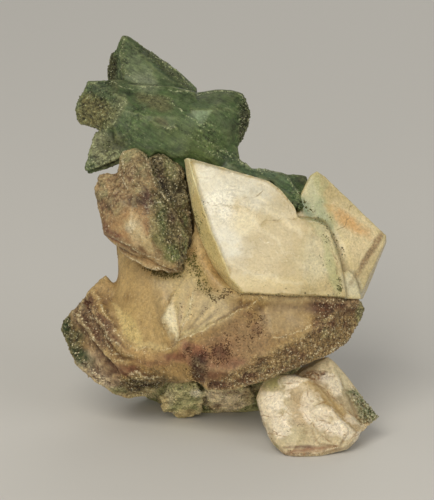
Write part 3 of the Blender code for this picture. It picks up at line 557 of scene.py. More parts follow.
tawny_finish = finish_of(
    "tawny_crystal", (62, 38, 26), (238, 226, 188), 0.3, 1.5, (1.0, 1.0, 0.22), striae=0.9, relief=0.9,
    shine=0.55, coat=0.4,
)
FAN_TIP = (-7.8, -18.5)
SLAB_TOP = [FAN_TIP, (0.6, -14.4), (8.6, -10.3)]
SLAB_CREASE = [(-1, -26.2), (2.2, -24.6), (11.4, -20.2), (18.6, -16.4), (19.9, -12.6), (18.4, -9)]
BOWL_RIM = [(-24.2, -8.4), (-22.6, -11.6), (-21.1, -14.9), (-17.5, -19.3), (-14.6, -20.4)]
MIDDLE_RIM = [(-25.5, -12), (-23.7, -14.2), (-21.1, -17.4), (-19.3, -19.3)]
OUTER_RIM = [(-29.5, -11.2), (-26.6, -14.5), (-24.4, -18.5), (-20.8, -22.2), (-17.9, -22.2)]
LOW_RIM = [(-17.9, -24.4), (-13.4, -25.6), (-11, -25.6)]
FLAME = [FAN_TIP, (-9.2, -16.2), (-10.8, -14.2), (-9.8, -11.6), (-8.8, -8.6)]
points, faces = even_mesh("lower_crystals", 0.35)
points = eased(points, faces, 2)
sight = as_seen(points)
bent = strayed(sight, points, 0.55, 20.0)
wander = uneven(points, 3.0, 21.0)
mottle = uneven(points, 1.3, 22.0)
normals = normals_of(points, faces)
facing = normals @ SIGHT_TOWARDS

# The pillar sweeps into the bowl and the fan in one hollow curve, so the facets there are eased away.
swoop = covered(sight, 0.0, (sight[2] > -3.0) * 1.0, [
    (1, -14, -8, 6.4, 9), (1, -13.6, -16, 5, 4.4), (1, -6.6, -12.6, 4.6, 5.6, 10), (0.8, -2, -7, 6, 4.4),
])
hollow = eased(points, faces, 190)
points = points + (hollow - points) * swoop[:, None]
normals = normals_of(points, faces)
facing = normals @ SIGHT_TOWARDS
front = held(0.5 + 1.6 * facing) * (sight[2] > -8.0)
behind = held(-0.2 - 1.6 * facing) * held(0.55 + 1.2 * uneven(points, 7.0, 23.0))

# Plates overlap like stairs on the left, and one plate rises from the tip of the fan, pale by its own colour
# and by a painted highlight.
uneven_height = 0.55 + 0.45 * uneven(points, 4.0, 27.0)
stairs = 0.5 * ledge(bent, BOWL_RIM, 0.4, 2.2) + 0.45 * ledge(bent, MIDDLE_RIM, 0.3, 1.6)
stairs += 0.55 * ledge(bent, OUTER_RIM, 0.4, 2.4) + 0.4 * ledge(bent, LOW_RIM, 0.3, 2.0)
stairs *= np.clip(uneven_height, 0.1, 1.0)
fan = 0.45 * ledge(bent, FLAME, 0.4, 2.6) * covered(sight, 0.0, 1.0, [(1, -8.6, -13.4, 3, 5, 6)])
slab_rise = 0.3 * ledge(bent, SLAB_TOP, 0.4, 3.0) + 0.15 * ledge(bent, [(11.5, -18), (8.8, -11.2)], 0.3, 6.0)

# Fine crystals radiate from the tip of the fan: noise over the angle round it.
ray_angle = np.arctan2(sight[1] - FAN_TIP[1], sight[0] - FAN_TIP[0])
ray_length = np.hypot(sight[0] - FAN_TIP[0], sight[1] - FAN_TIP[1])
rays = uneven(np.column_stack((ray_angle * 9.0, ray_length * 0.12, 0.0 * wander)), 1.0, 28.5)
rays *= held(ray_length / 2.0) * held((13.0 - ray_length) / 6.0) * front
rays *= held((ray_angle - 0.5) / 0.2) * held((2.3 - ray_angle) / 0.3)
below_crease = held(0.5 + beside(sight, SLAB_CREASE) / 1.4 + 0.5 * mottle) * (sight[0] > -2.0) * front
druse = np.maximum(0.8 * below_crease, covered(sight, wander, front, [
    (1, -29.8, -17.6, 2.4, 7.2, 30), (0.6, -24.5, -25.4, 4.5, 2, -40), (1, -14, -27.2, 6.4, 2.2, 2),
    (0.5, -4.2, -26.2, 2.2, 1.8), (0.5, -24.6, -15, 3.2, 8, 30), (0.3, -17.4, -16, 1.4, 3.4, 25),
    (0.4, -12, -23.8, 4, 1.2), (0.5, 14, -9.7, 9, 0.5, -2),
]))
druse = np.maximum(druse, 0.7 * behind)
raised = held(points[:, 2] - 0.2)
relief = druse * facets(points, 0.55, 24.0) * 0.4 + 0.08 * uneven(points, 4.0, 25.0)
relief += 0.25 * facets(points, 3.6, 25.2, 0.25, 0.15) * held(0.2 - 1.6 * facing)
relief += (stairs + fan + slab_rise) * front + 0.1 * rays
relief += 0.14 * mottle * blot(sight, wander, -24.6, -17.0, 4.6, 9.0, 30.0) * front
relief += 0.3 * facets(points, 2.2, 25.5, 0.6, 0.3) * covered(sight, wander, front, [
    (1, -24, -24.4, 6, 2.6, -42),
])
relief += 0.03 * uneven(points * (2.2, 2.2, 0.4), 1.2, 26.0) * (1.0 - druse)
pad = [(-3.8, 2), (-3.2, -2), (-0.6, -5.8), (3.2, -9.2), (11, -9.7), (28, -9.8)]
relief += (1.2 + 0.8 * (sight[0] > 5.0)) * crest(sight, pad, 1.3) * front
points, normals, edge = relieved(points, faces, normals, relief * raised)

tone = toned(paint(162, 134, 84), (142, 112, 70), held(0.3 + 0.6 * wander))
faced = own_shade(normals, faces, 28.4)
back_tone = toned(paint(150, 122, 80), (206, 186, 138), faced)
back_tone = toned(back_tone, (118, 88, 60), held(1.5 * uneven(points, 2.6, 28.2) - 0.2, 0.7))
tone += (back_tone - tone) * (0.9 * held(0.3 - 1.6 * facing))[:, None]
tone = toned(tone, (112, 116, 70), behind * held(1.6 * uneven(points, 5.0, 28.0) - 0.1, 0.9))
patchy = 0.6 * wander + 0.8 * mottle
tone = stained_and_lit(tone, sight, wander, front, [
    (186, 158, 106, 0.9, -14.6, -5, 6, 7), (204, 174, 118, 0.6, -18.8, -4, 1, 6),
    (186, 158, 104, 0.9, -14.6, -15.6, 6, 5.6), (160, 136, 92, 0.7, -11.4, -11.4, 1, 4.6, 8),
    (182, 158, 110, 0.9, -3.6, -9, 7, 5, -25), (190, 156, 108, 0.6, -2.4, -4.4, 2.6, 5, 20),
    (192, 172, 128, 0.85, -2, -12.6, 5.4, 3.4, 25), (150, 138, 80, 0.45, -3.4, -5.8, 1.6, 5, 30),
    (146, 134, 80, 0.45, -10, -4, 4.4, 1, -14), (188, 168, 118, 0.7, -7.4, -5.4, 4, 3),
])
tone *= (1.0 + 0.28 * rays)[:, None]
# Pale streaks on the fan's ridges and along the top edge of the slab: painted highlights, over the pale
# colour of the blades.
tone = stained_and_lit(tone, bent, 0.5 * mottle, front, [
    (224, 210, 170, 0.95, -9, -15.2, 0.9, 2.6, 16), (226, 214, 176, 0.9, -9.4, -12.6, 1.3, 1.9, -16),
    (204, 184, 134, 0.7, -7.8, -9.8, 1.5, 2.8, -8), (208, 190, 140, 0.7, -5.8, -12.6, 0.6, 4, -18),
    (206, 188, 138, 0.7, -4.2, -16.2, 4.2, 0.55, 26), (196, 176, 126, 0.6, -14, -19.2, 3.6, 0.6, 4),
])
tone = stained_and_lit(tone, bent, patchy, front, [
    (210, 188, 126, 0.75, -17, -16.4, 1.3, 3.6, 28), (214, 192, 132, 0.6, -19.4, -13, 0.7, 2.6, 24),
    (148, 120, 84, 0.95, 4.6, -18.8, 9, 4.4, 24), (152, 116, 82, 0.6, -0.5, -20.4, 5, 2.4, 18),
    (174, 150, 108, 0.95, 14, -13.2, 5, 3.6, 16), (158, 108, 78, 0.85, -4.8, -20.8, 3.2, 2),
    (92, 56, 42, 0.75, 0.4, -20.4, 1.3, 1.7, 20), (98, 62, 48, 0.75, -3.6, -21.8, 2.2, 1.8, 20),
    (60, 42, 34, 0.9, -3.4, -23.8, 1.7, 2.4, 24), (84, 58, 44, 0.7, -2.4, -25.4, 1.6, 1),
    (104, 70, 52, 0.6, -5.8, -20, 1.4, 0.9, 30), (116, 82, 58, 0.5, 8.2, -15.4, 1.2, 1.4),
    (112, 78, 56, 0.5, 6.6, -12.8, 0.8, 0.8), (132, 92, 68, 0.8, 1.6, -24.4, 4.4, 2.2, 14),
])
brown = toned(paint(148, 122, 82), (108, 76, 56), held(0.2 + 1.2 * uneven(points, 2.6, 29.0)))
brown = toned(brown, (164, 150, 106), held(1.3 * uneven(points, 2.0, 30.0) - 0.4, 0.8))
tone += (brown - tone) * (0.95 * below_crease)[:, None]
wide_front = held(0.5 + 1.6 * facing) * (sight[2] > -16.0)
tone = stained_and_lit(tone, bent, patchy, wide_front, [
    (96, 62, 44, 0.85, 24, -11.4, 6.5, 1.6, 4), (146, 144, 98, 0.85, 29, -13.4, 1.2, 3.4),
    (134, 104, 64, 0.7, 13, -9.8, 9, 0.45, -2), (176, 148, 102, 0.8, -22.6, -7.4, 1.6, 3.6, -45),
    (140, 120, 84, 0.85, -27, -11.6, 1.8, 3.8, 10), (128, 106, 80, 0.9, -25.6, -15.4, 2.8, 6.6, 32),
    (112, 80, 60, 0.85, -22, -15.4, 1.1, 5.4, 34), (96, 60, 42, 0.7, -24.6, -17, 0.8, 4.6, 28),
    (82, 46, 32, 0.95, -25.5, -10.9, 0.7, 1.6, -8), (118, 74, 54, 0.85, -18.6, -23.8, 3.2, 1, -10),
    (150, 112, 78, 0.8, -12, -22, 5, 1.2, 4), (124, 78, 56, 0.7, -8.6, -21.4, 2.4, 0.8, 4),
    (182, 148, 96, 0.8, -15.4, -20.8, 3.4, 0.9, -14), (176, 154, 124, 0.95, -24.8, -23.4, 4.6, 2.6, -42),
    (194, 176, 146, 0.8, -26.6, -22.4, 1, 2, -20), (184, 166, 134, 0.8, -22.4, -25.4, 1.2, 0.9, -30),
    (112, 82, 60, 0.8, -22, -22.6, 2.4, 1, -36), (176, 156, 130, 0.95, -24.6, -25.6, 7.5, 2, -30),
    (132, 108, 84, 0.7, -21.6, -25, 4, 0.7, -30), (206, 192, 160, 0.8, -27.4, -23.4, 0.7, 2, 30),
    (200, 184, 152, 0.8, -23.4, -27, 1.6, 0.6, -24), (66, 56, 34, 0.95, -14, -27.4, 5.4, 2.6, 4),
    (178, 160, 112, 0.9, -14, -28.9, 4.4, 0.8, 4), (116, 116, 76, 0.85, -20, -28.2, 2, 1),
    (134, 126, 82, 0.5, -11.6, -27.6, 1, 0.6), (66, 74, 44, 0.95, -29.6, -17.6, 2.2, 7, 30),
    (46, 68, 36, 0.85, -30.2, -14.4, 1.2, 2), (50, 66, 36, 0.8, -27.6, -20.6, 0.9, 2, 30),
    (152, 142, 102, 0.8, -31.8, -16.6, 0.7, 1.6), (128, 118, 84, 0.6, -28.8, -18, 0.7, 1.8, 20),
])
# Painted highlight on the edges, kept off the eased hollow, and painted shade in the creases.
rim = held(1.4 * edge) * 0.25 * (1.0 - swoop)
tone = toned(tone, (214, 194, 144), rim)
tone = toned(tone, (84, 56, 36), held(-1.4 * edge - 0.1, 0.6) * (1.0 - 0.8 * swoop))
soiled = covered(sight, wander, front, [
    (1.5, -10.4, -3.8, 5, 1.5, -14), (1.1, -2.8, -6.4, 1.3, 6, 30), (1, 0.8, -8.8, 2.6, 1.1),
    (1.2, -5.4, -2.6, 1.6, 3), (0.5, -4, -11, 4, 3.4), (0.25, -14, -15, 5, 3), (1.2, -4.6, -20.8, 2.8, 2.2),
    (1.2, 0.4, -20.2, 2.8, 2.8), (0.9, 8, -14.8, 2.6, 3), (1.2, -4.2, -24, 2.6, 3.6),
    (0.7, 4, -17.6, 8, 3.6, 24), (0.5, -25, -14, 3, 8, 30), (0.9, 13, -9.8, 9, 0.5, -2),
    (0.8, -14, -26.4, 6, 1.8),
])
soiled = np.maximum(np.maximum(soiled, 0.6 * behind), 0.5 * below_crease)
mossy = covered(sight, wander, 1.0, [
    (1, -5, -4, 7, 4.6, -20), (0.6, -30, -17, 3, 6), (0.7, -16, -27.4, 6, 2),
])
pearl = covered(sight, wander, front, [
    (0.9, -8.4, -13, 2.6, 5.4, 8), (0.8, -14, -9, 6.4, 10), (0.7, 14, -13, 5, 3, 20), (0.6, -3, -10, 6, 5),
])
rims = front * hairlines(bent, [
    BOWL_RIM, MIDDLE_RIM, OUTER_RIM, LOW_RIM, SLAB_TOP, [(-17, -19.6), (-12, -19.9), FAN_TIP],
    [(-29.6, -11), (-26, -7.4), (-22.8, -4.6)], [(-21.4, -8), (-20.2, -12)],
    [(2.6, -27), (9, -25.6), (16.6, -22.4), (22.6, -19.8), (26.4, -17.6)], FLAME,
    [(-27, -22), (-24.6, -25), (-20.4, -28)], [FAN_TIP, (-5.6, -13.6), (-4.8, -8.6)],
    [(11.5, -18), (19, -15.6)], [(-23.6, -15.4), (-20.6, -20.4), (-15.6, -21.8)],
])
lower_fields = {
    "tone": tone, "druse": druse, "pearl": pearl, "soiled": soiled, "mossy": mossy, "rims": rims
}
lower_surface = mesh_piece(
    "lower_crystals_surface", points, faces, tawny_finish, lower_fields
)
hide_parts("lower_crystals")
weight = held(druse - 0.25) * (1.0 + 2.0 * np.exp(-((facing / 0.2) ** 2))) + 1.2 * held(rims - 0.6)
weight *= points[:, 2] > 1.2
strewn_crystals(
    "lower_grains", points, normals, tone * 1.1, weight, 8600, (0.12, 0.42), 29, tawny_finish
)

# The foot: a pearly tablet under the right end of the slab, which the specimen stands on in front.
# Its plates are cracked across, with brown in the cracks, and green grains grow on its right corner.

pearly_finish = finish_of(
    "pearly_crystal", (66, 62, 36), (240, 228, 196), 0.35, 1.6, (1.0, 1.0, 0.6), relief=0.6, shine=0.5,
    coat=0.6, crack=(142, 108, 66),
)
points, faces = even_mesh("foot_crystal", 0.25)
points = eased(points, faces, 2)
sight = as_seen(points)
flat = blot(sight, 0.0, 13.6, -33.0, 5.6, 7.0, 0.0, 0.25)
flat *= normals_of(points, faces) @ SIGHT_TOWARDS > 0.3
points += (eased(points, faces, 60) - points) * flat[:, None]
wander = uneven(points, 2.4, 31.0)
mottle = uneven(points, 1.0, 32.0)
normals = normals_of(points, faces)
front = held(0.5 + 1.6 * normals @ SIGHT_TOWARDS)
bent = strayed(sight, points, 0.45, 30.0)
ragged = uneven(points, 1.9, 33.0)
bent_points = (points + 0.35 * mottle[:, None]) * (0.62, 0.62, 1.0)
corner = crest(bent, [(27.6, -28.6), (30, -31.6), (32.6, -33.8)], 1.1)
PLATES = [
    (1.0, 14.6, -26.0, 2.6, 1.4), (1.0, 11.0, -31.4, 4.0, 3.0, 10.0), (1.0, 12.0, -36.0, 2.6, 2.2),
    (0.7, 18.4, -30.0, 2.0, 2.6), (1.0, 20.8, -33.0, 3.4, 2.2, -36.0), (1.0, 24.6, -36.0, 3.4, 1.9, -26.0),
    (0.9, 23.4, -27.0, 2.4, 1.6, -40.0), (0.7, 27.4, -34.4, 1.8, 1.0, -30.0),
]
cell_first, cell_second, cell_own = grains(bent_points, 1.9, 37.0)[:3]
broken_line = held(1.0 - (cell_second - cell_first) / 0.09)
plates = np.zeros(len(points))
reach = ragged + 1.3 * cell_own[:, 0]
for strength, *place in PLATES:
    plates = np.maximum(plates, strength * front * blot(bent, reach, *place, rim=0.16))
plates *= 0.82 + 0.18 * cell_own[:, 1]
druse = covered(sight, wander, front, [
    (1, 30.4, -33, 2, 2.2, 30), (0.5, 19.6, -25, 2.6, 1), (0.4, 16, -41, 6, 0.5),
])
druse = np.maximum(druse, corner)
SHOULDER = [(16, -25), (20.5, -27.1), (23.3, -29.4), (25.6, -31.4), (29.6, -34.3)]
raised = held(points[:, 2] - 0.2)
relief = 0.1 * uneven(points, 3.0, 34.0) + 0.12 * plates + druse * facets(points, 0.6, 35.0) * 0.5
relief += 0.25 * ledge(bent, [(17.6, -26), (19.6, -29.4), (23.6, -33.4), (26.6, -36)], 1.0, 2.0) * front
relief -= 0.25 * crest(bent, SHOULDER, 0.7) * front
points, normals, edge = relieved(points, faces, normals, relief * raised)
tone = toned(paint(204, 188, 152), (184, 162, 124), held(0.3 + 0.8 * wander))
tone = stained_and_lit(tone, sight, wander, front, [
    (204, 190, 154, 0.8, 12.6, -34, 3, 6, 12), (196, 174, 136, 0.9, 16.6, -32.4, 1.7, 5, 10),
    (194, 182, 142, 0.7, 15.4, -37, 3.4, 2, 10), (180, 152, 100, 0.9, 22.4, -30.4, 1.1, 6.4, 46),
    (150, 132, 96, 0.7, 26, -30, 1, 5.6, 44), (196, 186, 152, 0.8, 24.2, -26, 2.2, 1.6, -40),
    (176, 168, 112, 0.9, 10.8, -26.2, 2.4, 1.9),
])
tone = stained_and_lit(tone, sight, wander + mottle, front, [
    (128, 96, 66, 0.9, 19.6, -25, 2.6, 1, -12), (96, 72, 60, 0.8, 21.6, -25.4, 0.9, 0.6),
    (150, 110, 78, 0.9, 17.4, -40.4, 6.4, 0.7, 7), (98, 62, 44, 0.7, 15.6, -39.4, 3, 0.3, 3),
    (84, 104, 60, 0.9, 30.2, -32.6, 1.7, 1.9, 30), (190, 170, 132, 0.7, 28.6, -36.4, 1.6, 0.8, 20),
    (150, 150, 92, 0.6, 11, -39.6, 1.4, 0.8),
])
tone = toned(tone, (98, 112, 72), held(corner * (0.8 + 0.9 * mottle), 0.95))
# The pale pearly plates: their white is partly their own and partly a painted sheen, painted stronger towards
# the right, where the face gets less of the lamps.
painted_sheen_right = np.clip(0.76 + 0.018 * (sight[0] - 11.0), 0.72, 1.0)
tone = toned(tone, (242, 230, 208), held(0.85 * plates, 0.95) * painted_sheen_right)
# Painted highlight on the edges and painted shade in the creases.
tone = toned(tone, (226, 210, 174), held(1.2 * edge, 0.35))
tone = toned(tone, (130, 94, 54), held(-1.4 * edge - 0.15, 0.6))
splits = front * hairlines(bent, [
    [(13.3, -26.7), (16.7, -26.4)], [(8.5, -33), (11.4, -33.3), (14.2, -33.1)], [(9.9, -36.4), (13.9, -37.1)],
    [(19.9, -31), (21.6, -30.3)], [(17, -32.2), (19, -34.8), (22.7, -38.6)], SHOULDER,
    [(19.4, -33.6), (22.8, -34.6)], [(21.4, -36.4), (26.4, -36.8)], [(17.6, -26.4), (18.6, -29.6)],
], 0.7)
splits = np.maximum(splits, front * broken_line * held(0.25 + plates) * held(0.6 + ragged))
foot_fields = {
    "tone": tone,
    "druse": 0.8 * druse,
    "pearl": held(0.4 + 0.6 * plates) * (1.0 - druse),
    "soiled": held(0.2 + 0.4 * wander, 0.5) + 0.5 * druse,
    "cracked": 0.4 + 0.6 * plates,
    "splits": splits,
    "rims": front * hairlines(sight, [
        [(26, -26), (28.4, -29.4), (31, -32)], [(12, -41.4), (20, -40.6), (27, -38.6)],
    ]),
}
foot_surface = mesh_piece("foot_crystal_surface", points, faces, pearly_finish, foot_fields)
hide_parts("foot_crystal")
weight = held(druse - 0.3) * (points[:, 2] > 1.0)
strewn_crystals(
    "foot_grains", points, normals, tone * 1.2, weight, 600, (0.16, 0.6), 36, pearly_finish
)

# The mottled pair on the left shoulder: rounded crystals of peach and pink-brown, knobbly on top.
# Dark grains of green and purple crust their right sides, and two thin ledges stand out below.

mottled_finish = finish_of(
    "mottled_crystal", (50, 38, 26), (232, 222, 188), 0.25, 1.2, relief=1.0, shine=0.55, coat=0.4
)
points, faces = even_mesh("mottled_crystals", 0.27)
sight = as_seen(points)
wander = uneven(points, 2.4, 41.0)
mottle = uneven(points, 1.1, 42.0)
bent = strayed(sight, points, 0.5, 40.0)
points = eased(points, faces, 3)
normals = normals_of(points, faces)
front = held(0.7 + 1.6 * normals @ SIGHT_TOWARDS)
KNOB_CREST = [(-15, 20.4), (-13.6, 17.8), (-12.7, 15.3), (-11.3, 11.9), (-9.4, 9.6)]
DARK_EDGE = [
    (-15.4, 22), (-13.8, 17.8), (-12.9, 15.3), (-12.6, 12.6), (-13, 10.7), (-12.8, 7), (-12, 4.4),
    (-10.6, 1.3), (-7.8, -3.6), (-6, -6),
]
UPPER_LEDGE = [(-20.6, 2.6), (-18.7, 1.9), (-15, -0.4), (-12.7, -1.3), (-8.7, -3.9)]
LOWER_LEDGE = [(-17.3, -1.3), (-14.4, -3), (-10.4, -4.4), (-8.1, -5)]
dark_side = held(0.5 - beside(bent, DARK_EDGE) / 1.2 + 0.5 * mottle)
knobbly = covered(sight, wander, 1.0, [
    (1, -21, 13, 4.6, 5.4), (1, -16.4, 16, 3.6, 6), (0.7, -21.6, 8.4, 3, 3),
])
druse = held(0.1 + 0.6 * dark_side + 0.35 * knobbly, 0.8)
relief = druse * facets(points, 0.55, 43.0) * 0.45 + (1.0 - dark_side) * 0.08 * uneven(points, 2.0, 44.0)
lumps = grains(points + 0.5 * wander[:, None], 2.7, 45.0)
relief += (0.55 * (0.5 - lumps[0]) + 0.12 * uneven(points, 1.1, 45.5)) * knobbly * front
relief += 0.25 * crest(bent, KNOB_CREST, 0.5) + 0.35 * ledge(bent, UPPER_LEDGE[::-1], 0.4, 3.0) * front
relief += 0.3 * ledge(bent, LOWER_LEDGE[::-1], 0.4, 2.0) * front
points, normals, edge = relieved(points, faces, normals, relief)
tone = toned(paint(160, 128, 88), (134, 104, 72), held(0.3 + 0.9 * wander))
# The two palest blots on the front of the first knob, near right -16.5 and up 4.5, are a painted sheen on its
# pale peach face.
tone = stained_and_lit(tone, sight, wander, front, [
    (186, 150, 104, 0.95, -18, 5, 4.4, 4, 8), (160, 134, 94, 0.7, -22.6, 12.6, 2.4, 4),
    (176, 170, 122, 0.85, -16.8, 17.8, 2.8, 3), (168, 152, 108, 0.8, -15.6, 13.2, 2.6, 2.2),
    (194, 182, 138, 0.8, -15.6, 12.2, 0.9, 0.8), (208, 186, 142, 0.95, -16.3, 4.1, 1.6, 2.7, 10),
    (226, 212, 178, 0.7, -17.2, 4.8, 0.8, 1.3, -30), (200, 178, 130, 0.7, -13.8, 1, 1, 2.6, 36),
    (122, 78, 58, 0.9, -20.4, 2.9, 2.6, 0.9, -25), (182, 148, 100, 0.9, -13.4, -2.4, 4.6, 1.2, -16),
])
lump_tone = toned(paint(184, 156, 116), (120, 88, 66), held(-0.1 + 1.4 * uneven(points, 1.5, 45.2)))
lump_tone = toned(lump_tone, (152, 150, 112), held(-0.1 + 1.4 * uneven(points, 1.7, 45.4)))
# Lighter on the crown of each lump and darker in the hollows between: painted light and shade on the lumps.
lump_tone *= (1.12 - 0.4 * lumps[0])[:, None]
tone += (lump_tone - tone) * (0.7 * knobbly)[:, None]
tone = stained_and_lit(tone, bent, wander + mottle, front, [
    (98, 70, 58, 0.9, -13.8, 10.3, 1.4, 2.4), (110, 80, 62, 0.7, -17.4, 15.4, 0.7, 1.8),
    (116, 84, 64, 0.7, -22.8, 9, 1.8, 0.8), (88, 68, 50, 0.85, -16.4, 9.6, 2.4, 0.9),
    (112, 80, 58, 0.7, -20.6, 10.4, 1.4, 1), (92, 76, 54, 0.7, -24.3, 10.6, 0.9, 1.2),
    (124, 92, 66, 0.6, -19.2, 14.6, 0.8, 2.2), (108, 66, 50, 0.7, -22.4, 4.4, 0.9, 1.4),
])
greener_below = 0.04 * (sight[1] - 4.0)
shade = toned(paint(98, 90, 56), (116, 124, 82), held(0.1 + 1.5 * uneven(points, 1.8, 46.0) - greener_below))
shade = toned(shade, (88, 66, 54), held(-0.2 + 1.5 * uneven(points, 2.1, 47.0), 0.9))
tone += (shade - tone) * (0.92 * dark_side)[:, None]
tone *= 0.88
# The near-black blots on either side of the second knob's grey-green column, near right -12, -10.8 and -6.8,
# are painted shade in its crevices.
tone = stained_and_lit(tone, sight, wander, 1.0, [
    (114, 114, 74, 0.85, -9.2, 16.6, 1.3, 3.6, 6), (140, 140, 100, 0.6, -9.4, 17.6, 0.6, 1.6),
    (50, 42, 28, 0.9, -12, 17.6, 0.8, 2.8, 14), (46, 38, 28, 0.9, -10.8, 13.2, 1.5, 1.2),
    (66, 54, 34, 0.8, -6.8, 14.4, 1.1, 3.6), (62, 56, 36, 0.85, -8.4, 11.4, 2.2, 2.2),
    (112, 84, 60, 0.7, -4.6, 6.4, 1.2, 2.6), (104, 114, 70, 0.7, -11, 6.2, 1.3, 2.8),
    (86, 64, 54, 0.7, -9.2, 6.6, 1.1, 1.6), (156, 144, 100, 0.85, -12.6, 4.6, 1, 2.6, 8),
    (134, 132, 86, 0.8, -11.6, 1.6, 1.2, 2.4, 34), (116, 126, 76, 0.75, -9.6, -0.8, 1.6, 1.8),
])
# Painted highlight on the edges and painted shade in the creases.
tone = toned(tone, (190, 174, 130), held(1.1 * edge, 0.3))
tone = toned(tone, (62, 46, 30), held(-1.0 * edge - 0.25, 0.45))
soiled = held(0.1 + 0.4 * dark_side + 0.25 * wander)
pearl = covered(sight, wander, front, [(1, -16.4, 4.4, 2.6, 3.4), (0.4, -18.6, 6, 5, 6)])
rims = hairlines(bent, [
    KNOB_CREST, UPPER_LEDGE, LOWER_LEDGE, [(-11.4, 9.8), (-14, 8.4), (-13.4, 5)],
    [(-16.4, 12.6), (-14.2, 11), (-12.8, 9.4)],
    [(-23.4, 15.2), (-21, 16.6)], [(-22.2, 4), (-20.6, 5.6)], [(-18.6, 20), (-19.4, 15.6), (-18, 12)],
])
knob_fields = {
    "tone": tone, "druse": druse, "pearl": pearl, "soiled": soiled, "mossy": 0.5 * dark_side,
    "rims": front * rims,
}
knob_surface = mesh_piece(
    "mottled_crystals_surface", points, faces, mottled_finish, knob_fields
)
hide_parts("mottled_crystals")
weight = np.clip(0.8 * dark_side, 0.05, 1.0) + 1.5 * held(rims - 0.5)
weight += covered(sight, wander, front, [
    (1.2, -14.2, 9.6, 3, 4), (0.7, -12.6, 3.4, 1.6, 4, 20), (0.5, -16.4, 14, 2.4, 4),
])
strewn_crystals(
    "knob_grains", points, normals, tone * 1.1, weight, 4200, (0.12, 0.42), 48, mottled_finish,
)

# The cream tablets on the right: the big pointed blade over its foot, and a paler one behind.
# The large face is pearly, grown in curved layers with fine cracks; the sides are clear and yellow.

cream_finish = finish_of(
    "cream_crystal", (70, 72, 36), (244, 238, 218), 0.4, 2.2, (1.0, 1.0, 0.5), relief=0.5, shine=0.48,
    coat=0.7, crack=(132, 112, 74), rings=True,
)
points, faces = even_mesh("cream_tablets", 0.25)
sight = as_seen(points)
bent = strayed(sight, points, 0.8, 50.0)
wander = uneven(points, 3.4, 51.0)
mottle = uneven(points, 1.4, 52.0)
normals = normals_of(points, faces)
SEAM = [(17.2, 8), (9, -4), (2.4, -6.4)]
FACE_LEAN = 0.185
FACE_NORMAL = (SIGHT_TOWARDS + FACE_LEAN * SIGHT_UP) / 1.017
face_level = 0.03 * sight[0] - FACE_LEAN * sight[1]
face_gap = np.abs(sight[2] - 11.4 - face_level)
main_face = held(4.0 * normals @ FACE_NORMAL - 3.0)
on_seam = (np.abs(sight[0] - 9.5) < 7.4) * (sight[1] > -6.0)
main_face = np.maximum(main_face, crest(sight, SEAM, 1.2) * on_seam)
main_face = held(1.4 * main_face) * held(3.0 - 3.0 * face_gap)
main_face = np.maximum(main_face, blot(sight, 0.0, 5.3, 5.2, 2.6, 2.6) * (face_gap < 2.0))
main_face = held(2.2 * eased(main_face, faces, 3) - 0.6)

# The blade and its foot share one gently bowed face, so the step between the two solids is taken out.
over_seam = -beside(sight, SEAM)
blend = held(0.5 + over_seam / 8.0)
blend = blend * blend * (3.0 - 2.0 * blend)
bow = -0.0045 * (sight[0] - 9.0) ** 2 - 0.003 * (sight[1] - 2.0) ** 2
flush = 11.2 + 0.4 * blend + face_level + bow
points += SIGHT_TOWARDS * (main_face * (flush - sight[2]))[:, None]
points = eased(points, faces, 3)
fold = blot(sight, 0.0, 18.8, -3.0, 1.6, 7.0, 0.0, 0.5) * (sight[2] > 6.0)
points += (eased(points, faces, 90) - points) * fold[:, None]
normals = normals_of(points, faces)
facing = normals @ SIGHT_TOWARDS
front = held(0.5 + 1.6 * facing)
growth = 0.55 * sight[0] + 0.83 * sight[1] - 0.02 * (sight[0] - 8.0) ** 2 + 0.7 * wander
LOBE = [(2.4, 8.4), (5.8, 8.2), (8.6, 5.6), (12.2, 5.9), (15.4, 6.2)]
relief = 0.1 * ledge(bent, LOBE[::-1], 0.5, 6.0) * main_face
relief += 0.08 * uneven(points, 3.6, 54.0) * (1.0 - 0.4 * main_face) + 0.03 * mottle * (1.0 - main_face)
behind = held(-0.2 - 1.6 * facing)
druse = 0.6 * behind * held(0.3 + 1.4 * uneven(points, 6.0, 57.0))
druse = np.maximum(druse, covered(sight, mottle, 1.0, [
    (0.5, 7, -9.2, 9, 0.5, -3), (0.4, 30.6, -0.6, 0.7, 6, -32),
]))
relief += druse * facets(points, 0.6, 58.0) * 0.3
points, normals, edge = relieved(points, faces, normals, relief)
tone = toned(paint(198, 180, 132), (206, 190, 150), main_face * 0.8)
side = held(-1.5 * normals[:, 0] - 0.1) * (sight[0] < 8.0)
tone = toned(tone, (216, 197, 140), 0.95 * side)
cloudy = 0.7 * wander + 0.9 * mottle
# The near-white blots on the upper left of the big face are the pearl of its cleavage and, in part, a painted
# sheen of the key lamp.
tone = stained_and_lit(tone, sight, cloudy, front * main_face, [
    (214, 209, 188, 0.9, 2.2, 13.2, 9.4, 3.6, -17), (228, 224, 206, 0.9, 1, 5.4, 3.4, 8.4, 24),
    (230, 226, 206, 0.6, -1.6, 14, 2.6, 4, 10), (224, 212, 176, 0.8, 5.2, 5.2, 2.4, 2.4),
])
tone = stained_and_lit(tone, sight, wander, front, [
    (232, 220, 172, 0.9, -5.4, 15.4, 1.3, 4.6, 8), (214, 196, 136, 0.85, -1.8, 1.4, 1.1, 6.4, 20),
    (196, 182, 146, 0.5, 8.4, 1.4, 3, 1.8), (194, 180, 146, 0.5, 4.6, -2.6, 1.8, 1.4),
    (200, 188, 154, 0.6, 13, 9.2, 2.8, 2.4, -40), (216, 198, 148, 0.7, 11, -6.8, 9, 1.6),
    (218, 208, 172, 0.85, 19.4, -1.6, 3, 5),
])
slanted = np.column_stack((sight[0] + sight[1], 0.22 * (sight[0] - sight[1]), 0.0 * wander))
streaky = uneven(slanted, 1.5, 55.0)
